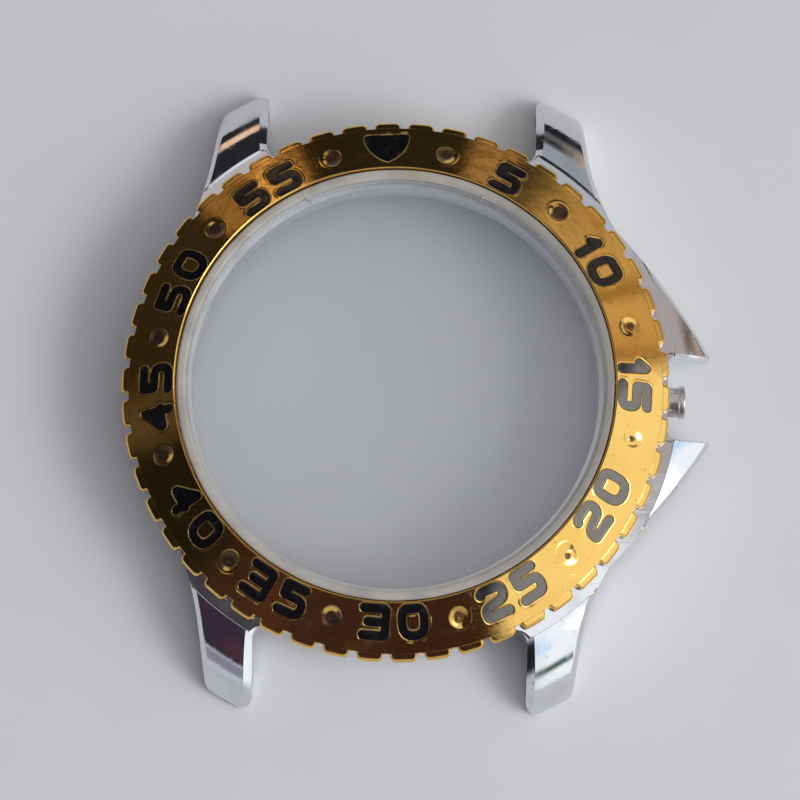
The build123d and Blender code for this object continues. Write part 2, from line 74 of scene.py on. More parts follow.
class Value:
    """A shader socket that takes part in Python sums; every operator adds one Math node."""

    def __init__(self, book: "NodeBook", socket: bpy.types.NodeSocket) -> None:
        """Wrap one output socket of a node in the given book."""
        self.book = book
        self.socket = socket

    def _math(self, operation: str, first: object, second: object = None) -> "Value":
        """Add a Math node for one operation on values or numbers.

        Args:
            operation: the Math node's operation.
            first: the first operand, a Value or a number.
            second: the second operand, if the operation takes two.

        Returns:
            The result as a Value.
        """
        inputs = {0: first}
        if second is not None:
            inputs[1] = second
        return self.book.add("ShaderNodeMath", {"operation": operation}, inputs)

    def modulo(self, other: float) -> "Value":
        """What is left of self after whole times other, never negative."""
        return self._math("FLOORED_MODULO", self, other)

    def __add__(self, other: object) -> "Value":
        """self + other."""
        return self._math("ADD", self, other)

    __radd__ = __add__

    def __sub__(self, other: object) -> "Value":
        """self - other."""
        return self._math("SUBTRACT", self, other)

    def __mul__(self, other: object) -> "Value":
        """self * other."""
        return self._math("MULTIPLY", self, other)

    __rmul__ = __mul__

    def __truediv__(self, other: object) -> "Value":
        """self / other."""
        return self._math("DIVIDE", self, other)

    def __pow__(self, other: object) -> "Value":
        """self ** other."""
        return self._math("POWER", self, other)

    def size(self) -> "Value":
        """The value without its sign."""
        return self._math("ABSOLUTE", self)

    def angle_to(self, other: object) -> "Value":
        """The arctangent of self over other, in radians."""
        return self._math("ARCTAN2", self, other)

    def step(self, low: float, high: float) -> "Value":
        """Rise smoothly from 0 at the low value to 1 at the high one.

        Args:
            low: where the rise starts.
            high: where the rise ends; below low, the step falls instead.

        Returns:
            The smooth step as a Value from 0 to 1.
        """
        settings = {"interpolation_type": "SMOOTHSTEP", "clamp": True}
        return self.book.add("ShaderNodeMapRange", settings, {0: self, 1: low, 2: high, 3: 0.0, 4: 1.0})

    def between(self, low: float, high: float, soft: float) -> "Value":
        """1 between two values and 0 outside them, with smooth changes of twice soft at both."""
        return self.step(low - soft, low + soft) * self.step(high + soft, high - soft)


class NodeBook:
    """Writes nodes into one node tree and links what it is given."""

    def __init__(self, tree: bpy.types.NodeTree) -> None:
        """Start on a tree, emptied of its default nodes.

        Args:
            tree: the node tree of a material or of the world.
        """
        self.tree = tree
        tree.nodes.clear()
        self._object_point: Value | None = None

    def add(
        self,
        kind: str,
        settings: dict[str, object] | None = None,
        inputs: dict[int | str, object] | None = None,
        output: int | str = 0,
    ) -> Value:
        """Add one node: its settings first, then the values or links of its sockets.

        Args:
            kind: the node's Blender type name.
            settings: node properties.
            inputs: socket name or number to a Value or a plain value.
            output: the output socket to hand back.

        Returns:
            The chosen output socket as a Value.
        """
        node = self.tree.nodes.new(kind)
        for key, setting in (settings or {}).items():
            setattr(node, key, setting)
        for key, given in (inputs or {}).items():
            if isinstance(given, Value):
                self.tree.links.new(given.socket, node.inputs[key])
            else:
                node.inputs[key].default_value = given
        return Value(self, node.outputs[output]) if len(node.outputs) else Value(self, None)

    def point(self) -> Value:
        """Where on the object the shading is, in metres of the part's frame.

        Returns:
            The object coordinates as a vector.
        """
        if self._object_point is None:
            self._object_point = self.add("ShaderNodeTexCoord", output="Object")
        return self._object_point

    def parts(self, vector: Value) -> tuple[Value, Value, Value]:
        """The three numbers of a vector."""
        node = self.add("ShaderNodeSeparateXYZ", inputs={0: vector}).socket.node
        return tuple(Value(self, socket) for socket in node.outputs)

    def radius(self) -> Value:
        """The shaded point's distance from the case axis, in millimetres."""
        x, y, _ = self.parts(self.point())
        return ((x * x + y * y) ** 0.5) / MM

    def along(self, direction: float) -> Value:
        """How far the shaded point lies in a direction clockwise from twelve, in millimetres.

        Args:
            direction: degrees clockwise from twelve.

        Returns:
            The distance, negative on the far side.
        """
        x, y, _ = self.parts(self.point())
        turn = math.radians(direction)
        return x * (math.sin(turn) / MM) + y * (math.cos(turn) / MM)

    def noise(
        self,
        size: float,
        detail: float = 3.0,
        stretch: Triple = (1.0, 1.0, 1.0),
        vector: Value | None = None,
    ) -> Value:
        """Soft noise whose blobs are about the given size.

        Args:
            size: the blobs' size in millimetres.
            detail: how many finer layers are added.
            stretch: how much closer together the blobs are along each axis.
            vector: the point that the noise reads, by default the object point.

        Returns:
            The noise, mostly between 0.3 and 0.7.
        """
        place = vector or self.point()
        scaled = self.add("ShaderNodeVectorMath", {"operation": "MULTIPLY"}, {0: place, 1: stretch})
        inputs = {"Vector": scaled, "Scale": 1.0 / (size * MM), "Detail": detail}
        return self.add("ShaderNodeTexNoise", {}, inputs)

    def blend(self, factor: object, first: object, second: object) -> Value:
        """Mix two colours by a factor from 0 to 1."""
        inputs = {0: factor, 6: self._colour(first), 7: self._colour(second)}
        return self.add("ShaderNodeMix", {"data_type": "RGBA"}, inputs, 2)

    @staticmethod
    def _colour(given: object) -> object:
        """A colour of three numbers with its fourth added; anything else as it is."""
        return (*given, 1.0) if isinstance(given, tuple) and len(given) == 3 else given

    def bump(self, height: Value, depth: float, under: Value | None = None) -> Value:
        """Turn a height from 0 to 1 into a normal.

        Args:
            height: the height map.
            depth: how deep its full range is, in millimetres.
            under: a normal that this one lies on.

        Returns:
            The bumped normal.
        """
        inputs = {"Height": height, "Distance": depth * MM, "Strength": 1.0}
        if under is not None:
            inputs["Normal"] = under
        return self.add("ShaderNodeBump", {}, inputs)


@dataclass(frozen=True)
class Finish:
    """A material's name and constants; each kind of finish says what varies over the surface."""

    name: str = "finish"
    constants: Constants = (("Metallic", 0.0),)
    blended: bool = False

    def fill(self, book: NodeBook) -> dict[str, object]:
        """The shader's varying inputs by socket name."""
        raise NotImplementedError

    def build(self) -> Material:
        """The material, made round one Principled shader.

        Returns:
            The finished material.
        """
        material = bpy.data.materials.new(self.name)
        material.use_nodes = True
        book = NodeBook(material.node_tree)
        inputs = {**dict(self.constants), **self.fill(book)}
        shader = book.add("ShaderNodeBsdfPrincipled", {}, inputs)
        book.add("ShaderNodeOutputMaterial", {}, {"Surface": shader})
        if self.blended:
            material.surface_render_method = "BLENDED"
        return material


@dataclass(frozen=True)
class BrightPlating(Finish):
    """Bright plate over a polished casting: hazed by handling, with a few stains and hairline
    scratches, a painted shade line in the corner beside the bezel, strongest towards one
    o'clock, and a satin inner wall."""

    name: str = "bright_plating"
    constants: Constants = (("Metallic", 1.0),)
    colour: Colour = (0.80, 0.81, 0.83)
    hazed: Colour = (0.62, 0.62, 0.64)
    stain: Colour = (0.34, 0.26, 0.22)
    # colour of the painted shade line in the corner where the deck meets the bezel
    corner: Colour = (0.035, 0.045, 0.055)
    roughness: float = 0.06
    shade_line_ring: Pair = (20.55, 20.73)
    shade_line_level: float = 4.20
    shade_line_soft: float = 0.05
    shade_line_direction: float = 30.0
    shade_line_start: Pair = (19.7, 20.3)
    inner_wall: Pair = (15.6, 15.4)

    def fill(self, book: NodeBook) -> dict[str, object]:
        """Colour, roughness and normal of the plate.

        Args:
            book: where the nodes are written.

        Returns:
            The shader's varying inputs by socket name.
        """
        _, _, z = book.parts(book.point())
        radius = book.radius()
        # painted shade: a dark line round the seat's corner, strongest towards one o'clock
        level, soft = self.shade_line_level, self.shade_line_soft
        corner = radius.between(*self.shade_line_ring, soft) * (z / MM).step(level - soft, level + soft)
        shade_line_strength = book.along(self.shade_line_direction).step(*self.shade_line_start)
        corner = corner * (0.75 + 0.5 * book.noise(0.8, 2.0)) * (0.10 + 0.90 * shade_line_strength)
        inside = radius.step(*self.inner_wall)
        haze = book.noise(2.6, 4.0).step(0.46, 0.72)
        spots = book.noise(0.9, 5.0).step(0.66, 0.76)
        lines = book.noise(0.22, 2.0, (1.0, 0.06, 0.3)).step(0.60, 0.72)
        cross = book.noise(0.20, 2.0, (0.05, 1.0, 0.3)).step(0.63, 0.74)
        colour = book.blend(haze * 0.35, self.colour, self.hazed)
        colour = book.blend(spots * 0.30, colour, self.stain)
        colour = book.blend(corner, colour, self.corner)
        wavy = book.bump(book.noise(2.4, 2.0), 0.006)
        rough = self.roughness + 0.12 * haze + 0.06 * lines + 0.05 * cross
        return {
            "Base Color": colour,
            "Roughness": rough + 0.22 * inside + 0.3 * corner,
            "Normal": book.bump(lines + cross, 0.0010, wavy),
        }


@dataclass(frozen=True)
class Gilt(Finish):
    """Gilt brass with amber patches, brown spots, fine scratches and, where the pieces' attribute
    says so, a dark brown that is painted shade in creases and hollows, with some grime."""

    name: str = "gilt_bezel"
    constants: Constants = (("Metallic", 1.0),)
    colour: Colour = (0.90, 0.58, 0.16)
    amber: Colour = (0.78, 0.41, 0.09)
    brown: Colour = (0.22, 0.10, 0.045)
    # dark brown of the painted shade, with some grime, in creases and hollows
    dull_and_shade: Colour = (0.13, 0.075, 0.045)
    roughness: float = 0.09

    def fill(self, book: NodeBook) -> dict[str, object]:
        """Colour, roughness and normal of the gilt.

        Args:
            book: where the nodes are written.

        Returns:
            The shader's varying inputs by socket name.
        """
        dirt_and_shade = book.add("ShaderNodeAttribute", {"attribute_name": DIRT_AND_SHADE}, output="Fac")
        patches = book.noise(7.0, 3.0).step(0.42, 0.66)
        spots = book.noise(0.34, 4.0).step(0.64, 0.74)
        grime = book.noise(2.2, 5.0).step(0.58, 0.74)
        lines = book.noise(0.16, 2.0, (1.0, 0.08, 0.5)).step(0.60, 0.72)
        cross = book.noise(0.15, 2.0, (0.07, 1.0, 0.5)).step(0.62, 0.74)
        colour = book.blend(patches * 0.5, self.colour, self.amber)
        colour = book.blend(grime * 0.35, colour, self.amber)
        colour = book.blend(spots * 0.45, colour, self.brown)
        # painted shade with some grime, from the attribute, darkens the gilt and makes it rougher
        dirt_and_shade_share = dirt_and_shade * (0.7 + 0.6 * book.noise(0.3, 3.0))
        colour = book.blend(dirt_and_shade_share.step(0.05, 0.95), colour, self.dull_and_shade)
        soft = book.bump(book.noise(1.3, 2.0), 0.010)
        return {
            "Base Color": colour,
            "Roughness": self.roughness + 0.10 * grime + 0.06 * lines + 0.05 * cross + 0.35 * dirt_and_shade_share,
            "Normal": book.bump(lines + cross, 0.0010, soft),
        }


@dataclass(frozen=True)
class BlackEnamel(Finish):
    """Glossy black enamel with dust in patches and fine pits, and a painted grey sheen on 15 to 25."""

    name: str = "black_enamel"
    constants: Constants = (("Metallic", 0.0), ("IOR", 1.5), ("Coat Weight", 0.1))
    colour: Colour = (0.006, 0.006, 0.007)
    dusty: Colour = (0.030, 0.026, 0.024)
    # colour of the painted reflection on the numerals towards the lamp
    painted_sheen: Colour = (0.205, 0.188, 0.160)
    sheen_direction: float = 120.0
    sheen_start: Pair = (13.0, 15.2)

    def fill(self, book: NodeBook) -> dict[str, object]:
        """Colour, roughness and normal of the enamel.

        Args:
            book: where the nodes are written.

        Returns:
            The shader's varying inputs by socket name.
        """
        dust = book.noise(0.6, 4.0).step(0.50, 0.75)
        pits = book.noise(0.12, 2.0).step(0.62, 0.75)
        # painted reflection: a grey sheen on the numerals towards four o'clock, the side of the lamp and
        # the bright room
        sheen_mask = book.along(self.sheen_direction).step(*self.sheen_start)
        sheen_mask = sheen_mask * (0.55 + 0.9 * book.noise(0.7, 3.0))
        black = book.blend(dust * 0.4, self.colour, self.dusty)
        return {
            "Base Color": book.blend(sheen_mask.step(0.0, 1.1), black, self.painted_sheen),
            "Roughness": 0.13 + 0.16 * dust,
            "Normal": book.bump(book.noise(0.5, 2.0) + 0.3 * pits, 0.008),
        }


@dataclass(frozen=True)
class ClearGlass(Finish):
    """Flat mineral glass, nearly clear, more mirror-like at a slant, with faint smears and dust."""

    name: str = "clear_glass"
    constants: Constants = (("Metallic", 0.0), ("IOR", 1.52))
    blended: bool = True
    tint: Colour = (0.90, 0.93, 0.94)
    dusty: Colour = (0.75, 0.76, 0.78)
    veil: float = 0.045

    def fill(self, book: NodeBook) -> dict[str, object]:
        """Colour, see-through share and roughness of the glass.

        Args:
            book: where the nodes are written.

        Returns:
            The shader's varying inputs by socket name.
        """
        slant = book.add("ShaderNodeLayerWeight", {}, {"Blend": 0.35}, "Fresnel")
        smear = book.noise(4.0, 3.0, (1.0, 0.4, 1.0)).step(0.50, 0.75)
        dust = book.noise(0.14, 2.0).step(0.71, 0.76)
        return {
            "Base Color": book.blend(dust, self.tint, self.dusty),
            "Alpha": self.veil + 0.55 * slant + 0.03 * smear + 0.20 * dust,
            "Roughness": 0.03 + 0.10 * smear,
        }


@dataclass(frozen=True)
class AgedPlastic(Finish):
    """White plastic with grey streaks and yellow stains, and painted shade that darkens it towards the
    right.
    """

    name: str = "aged_white_plastic"
    colour: Colour = (0.60, 0.57, 0.52)
    grey: Colour = (0.40, 0.375, 0.345)
    # colour of the painted shade on the gasket's right side
    grime: Colour = (0.30, 0.285, 0.265)
    yellow: Colour = (0.52, 0.43, 0.27)
    shaded_direction: float = 90.0
    shade_rise: Pair = (0.0, 15.0)

    def fill(self, book: NodeBook) -> dict[str, object]:
        """Colour, roughness and normal of the plastic.

        Args:
            book: where the nodes are written.

        Returns:
            The shader's varying inputs by socket name.
        """
        streaks = book.noise(2.4, 4.0).step(0.40, 0.70)
        stains = book.noise(3.4, 5.0).step(0.60, 0.74)
        # painted shade: the gasket darkens towards three o'clock
        right = book.along(self.shaded_direction).step(*self.shade_rise)
        colour = book.blend(streaks * 0.6, self.colour, self.grey)
        colour = book.blend(right * 0.65, colour, self.grime)
        colour = book.blend(stains * 0.55, colour, self.yellow)
        return {
            "Base Color": colour,
            "Roughness": 0.42 + 0.20 * streaks,
            "Normal": book.bump(book.noise(0.35, 3.0), 0.012),
        }


@dataclass(frozen=True)
class DullSteel(Finish):
    """Turned or rolled steel with tarnish in patches and turning lines."""

    name: str = "turned_steel"
    constants: Constants = (("Metallic", 1.0),)
    colour: Colour = (0.76, 0.73, 0.72)
    tarnish: Colour = (0.40, 0.34, 0.30)
    roughness: float = 0.22

    def fill(self, book: NodeBook) -> dict[str, object]:
        """Colour, roughness and normal of the steel.

        Args:
            book: where the nodes are written.

        Returns:
            The shader's varying inputs by socket name.
        """
        tarnish = book.noise(0.8, 4.0).step(0.45, 0.72)
        lines = book.noise(0.10, 2.0, (1.0, 0.05, 0.05))
        return {
            "Base Color": book.blend(tarnish * 0.6, self.colour, self.tarnish),
            "Roughness": self.roughness + 0.18 * tarnish,
            "Normal": book.bump(lines, 0.004),
        }


@dataclass(frozen=True)
class BlackRubber(Finish):
    """Near-black rubber with a faint grey bloom."""

    name: str = "black_rubber"
    colour: Colour = (0.018, 0.018, 0.018)
    bloomed: Colour = (0.07, 0.07, 0.07)

    def fill(self, book: NodeBook) -> dict[str, object]:
        """Colour, roughness and normal of the rubber.

        Args:
            book: where the nodes are written.

        Returns:
            The shader's varying inputs by socket name.
        """
        bloom = book.noise(0.9, 4.0).step(0.45, 0.75)
        return {
            "Base Color": book.blend(bloom * 0.6, self.colour, self.bloomed),
            "Roughness": 0.55 + 0.2 * bloom,
            "Normal": book.bump(book.noise(0.2, 3.0), 0.01),
        }


@dataclass(frozen=True)
class PalePaper(Finish):
    """Pale, faintly mottled paper for the floor."""

    name: str = "pale_paper"
    colour: Colour = (0.85, 0.86, 0.88)
    lighter: float = 1.04

    def fill(self, book: NodeBook) -> dict[str, object]:
        """Colour, roughness and normal of the paper.

        Args:
            book: where the nodes are written.

        Returns:
            The shader's varying inputs by socket name.
        """
        mottle = book.noise(9.0, 3.0)
        light = tuple(min(1.0, part * self.lighter) for part in self.colour)
        return {
            "Base Color": book.blend(mottle, self.colour, light),
            "Roughness": 0.75 + 0.1 * mottle,
            "Normal": book.bump(book.noise(0.5, 3.0), 0.004),
        }


# Surfaces


def grid_piece(
    name: str, points: np.ndarray, wrap_rows: bool = True, wrap_columns: bool = True
) -> Piece:
    """Make a mesh object from a grid of points in millimetres.

    Each point is joined to the next in its row and in its column; a wrapped direction also joins
    the last to the first. Faces point to the right-hand side of rows crossed with columns.

    Args:
        name: the object's name.
        points: an array of rows by columns by three.
        wrap_rows: whether the last row joins the first.
        wrap_columns: whether the last column joins the first.

    Returns:
        The object, linked to the scene, at the origin.
    """
    rows, columns, _ = points.shape
    down = np.arange(rows if wrap_rows else rows - 1)
    along = np.arange(columns if wrap_columns else columns - 1)
    row, column = np.meshgrid(down, along, indexing="ij")
    row_next = (row + 1) % rows
    column_next = (column + 1) % columns
    corners = [row * columns + column, row_next * columns + column]
    corners += [row_next * columns + column_next, row * columns + column_next]
    faces = np.stack(corners, axis=-1).reshape(-1, 4)
    mesh = bpy.data.meshes.new(name)
    mesh.vertices.add(rows * columns)
    mesh.vertices.foreach_set("co", (points.reshape(-1) * MM).astype(np.float32))
    mesh.loops.add(faces.size)
    mesh.loops.foreach_set("vertex_index", faces.reshape(-1).astype(np.int32))
    mesh.polygons.add(len(faces))
    mesh.polygons.foreach_set("loop_start", np.arange(0, faces.size, 4, dtype=np.int32))
    mesh.update(calc_edges=True)
    mesh.validate()
    piece = bpy.data.objects.new(name, mesh)
    bpy.context.scene.collection.objects.link(piece)
    return piece


def mark_points(piece: Piece, name: str, values: np.ndarray) -> None:
    """Store one number per point of a grid piece, in the grid's own order."""
    attribute = piece.data.attributes.new(name, "FLOAT", "POINT")
    attribute.data.foreach_set("value", values.reshape(-1).astype(np.float32))


def tidy_mesh(piece: Piece, sharp_degrees: float = 35.0, weld: float = 0.0005) -> None:
    """Weld coincident points, turn the faces outwards and shade smooth but for sharp edges.

    Args:
        piece: the mesh object.
        sharp_degrees: edges that turn more than this stay sharp.
        weld: points closer than this, in millimetres, become one.
    """
    mesh = piece.data
    work = bmesh.new()
    work.from_mesh(mesh)
    bmesh.ops.remove_doubles(work, verts=work.verts, dist=weld * MM)
    bmesh.ops.dissolve_degenerate(work, edges=work.edges, dist=weld * MM * 0.2)
    bmesh.ops.recalc_face_normals(work, faces=work.faces)
    work.to_mesh(mesh)
    work.free()
    mesh.polygons.foreach_set("use_smooth", np.ones(len(mesh.polygons), dtype=bool))
    mesh.set_sharp_from_angle(angle=math.radians(sharp_degrees))
    mesh.update()


def cut_away(piece: Piece, cutters: list[Piece]) -> None:
    """Cut other meshes out of a piece and remove them.

    Args:
        piece: the mesh object that is cut.
        cutters: closed mesh objects that show what to take away.
    """
    for number, cutter in enumerate(cutters):
        cut = piece.modifiers.new(f"cut_{number}", "BOOLEAN")
        cut.operation = "DIFFERENCE"
        cut.solver = "MANIFOLD"
        cut.object = cutter
    bpy.context.view_layer.update()
    graph = bpy.context.evaluated_depsgraph_get()
    mesh = bpy.data.meshes.new_from_object(piece.evaluated_get(graph))
    piece.modifiers.clear()
    old = piece.data
    piece.data = mesh
    bpy.data.meshes.remove(old)
    for cutter in cutters:
        bpy.data.objects.remove(cutter)


def smooth_step(value: np.ndarray, low: float, high: float) -> np.ndarray:
    """Rise from 0 at low to 1 at high along 3t^2 - 2t^3, as whole arrays."""
    share = np.clip((value - low) / (high - low), 0.0, 1.0)
    return share * share * (3.0 - 2.0 * share)


def hill(away: np.ndarray, width: float) -> np.ndarray:
    """A smooth hill, exp(-(away / width)^2): 1 in its middle, 0.37 a width away."""
    return np.exp(-((away / width) ** 2))


def soft_least(first: np.ndarray, second: np.ndarray, width: float) -> np.ndarray:
    """The lesser of two arrays, with the crease between them rounded over a width."""
    share = np.clip(0.5 + 0.5 * (second - first) / width, 0.0, 1.0)
    return second * (1.0 - share) + first * share - width * share * (1.0 - share)


def full_turn(count: int) -> np.ndarray:
    """Evenly spaced angles of a full turn, in radians, without the last, which is the first."""
    return np.linspace(0.0, 2 * np.pi, count, endpoint=False)


def plan_of(turn: np.ndarray, radius: np.ndarray) -> tuple[np.ndarray, np.ndarray]:
    """Plan coordinates of places given by degrees clockwise from twelve and by radii."""
    return radius * np.sin(np.radians(turn)), radius * np.cos(np.radians(turn))


def arc(centre: Pair, radius: float, start: float, end: float, count: int) -> np.ndarray:
    """Points on an arc of a circle: centre + radius * (cos, sin) of angles in degrees, start to end."""
    turn = np.radians(np.linspace(start, end, count))
    return np.stack([centre[0] + radius * np.cos(turn), centre[1] + radius * np.sin(turn)], axis=1)


def straight(start: np.ndarray, end: np.ndarray, count: int) -> np.ndarray:
    """Evenly spaced points from one point to another."""
    share = np.linspace(0.0, 1.0, count)[:, None]
    return np.asarray(start) * (1.0 - share) + np.asarray(end) * share


def rounded_profile(corners: list[Pair], radius: float, steps: int = 3) -> np.ndarray:
    """A closed outline whose corners are replaced by short curves.

    Each corner is left out and a quadratic curve runs between points a radius, or at most 0.45 of
    the side, before and after it, with the corner as its control point.

    Args:
        corners: the outline's corners in order.
        radius: how far from each corner the curve starts.
        steps: how many pieces each curve has.

    Returns:
        The rounded outline as an array of points.
    """
    here = np.array(corners, float)
    before = np.roll(here, 1, axis=0)
    after = np.roll(here, -1, axis=0)
    to_before = before - here
    to_after = after - here
    length_before = np.linalg.norm(to_before, axis=1)[:, None]
    length_after = np.linalg.norm(to_after, axis=1)[:, None]
    start = here + to_before / length_before * np.minimum(radius, 0.45 * length_before)
    end = here + to_after / length_after * np.minimum(radius, 0.45 * length_after)
    share = np.linspace(0.0, 1.0, steps + 1)[None, :, None]
    curve = start[:, None] * (1 - share) ** 2 + 2 * here[:, None] * share * (1 - share)
    curve = curve + end[:, None] * share**2
    return curve.reshape(-1, 2)


def round_path(path: np.ndarray, cuts: list[float], steps: int = 4) -> np.ndarray:
    """An open path whose inner corners are replaced by quadratic curves.

    Args:
        path: the path's corners in order.
        cuts: how far from each corner its curve starts, at most half of the shorter side.
        steps: how many straight pieces each curve has.

    Returns:
        The rounded path's points.
    """
    points = [path[:1]]
    for before, here, after, cut in zip(path, path[1:], path[2:], cuts[1:]):
        reach_in = min(cut, 0.5 * float(np.linalg.norm(before - here)))
        reach_out = min(cut, 0.5 * float(np.linalg.norm(after - here)))
        start = here + (before - here) / np.linalg.norm(before - here) * reach_in
        end = here + (after - here) / np.linalg.norm(after - here) * reach_out
        share = np.linspace(0.0, 1.0, steps + 1)[:, None]
        points.append(start * (1 - share) ** 2 + 2 * here * share * (1 - share) + end * share**2)
    points.append(path[-1:])
    return np.concatenate(points)


def lathe(name: str, profile: np.ndarray, segments: int = 720) -> Piece:
    """Turn a closed profile of radius and height round the case axis.

    Args:
        name: the object's name.
        profile: points of radius and height, in order.
        segments: how many steps the turn has.

    Returns:
        The turned object.
    """
    turn = full_turn(segments)
    radius = profile[:, 0][None, :]
    x = np.cos(turn)[:, None] * radius
    y = np.sin(turn)[:, None] * radius
    z = np.broadcast_to(profile[:, 1][None, :], x.shape)
    return grid_piece(name, np.stack([x, y, z], axis=-1))


def dress(piece: Piece, material: Material, slot: str, body: str, *nodes: str) -> None:
    """Give a piece its finish and its place in the part.

    Args:
        piece: the new piece.
        material: its material.
        slot: the record's material slot; not used.
        body: the body that it moves with.
        nodes: the nodes that it stands for.
    """
    piece.data.materials.clear()
    piece.data.materials.append(material)
    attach(piece, body)
    if nodes:
        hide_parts(*nodes)
    count = sum(len(face.vertices) - 2 for face in piece.data.polygons)
    LOG.info("%s: %d triangles", piece.name, count)


# The case


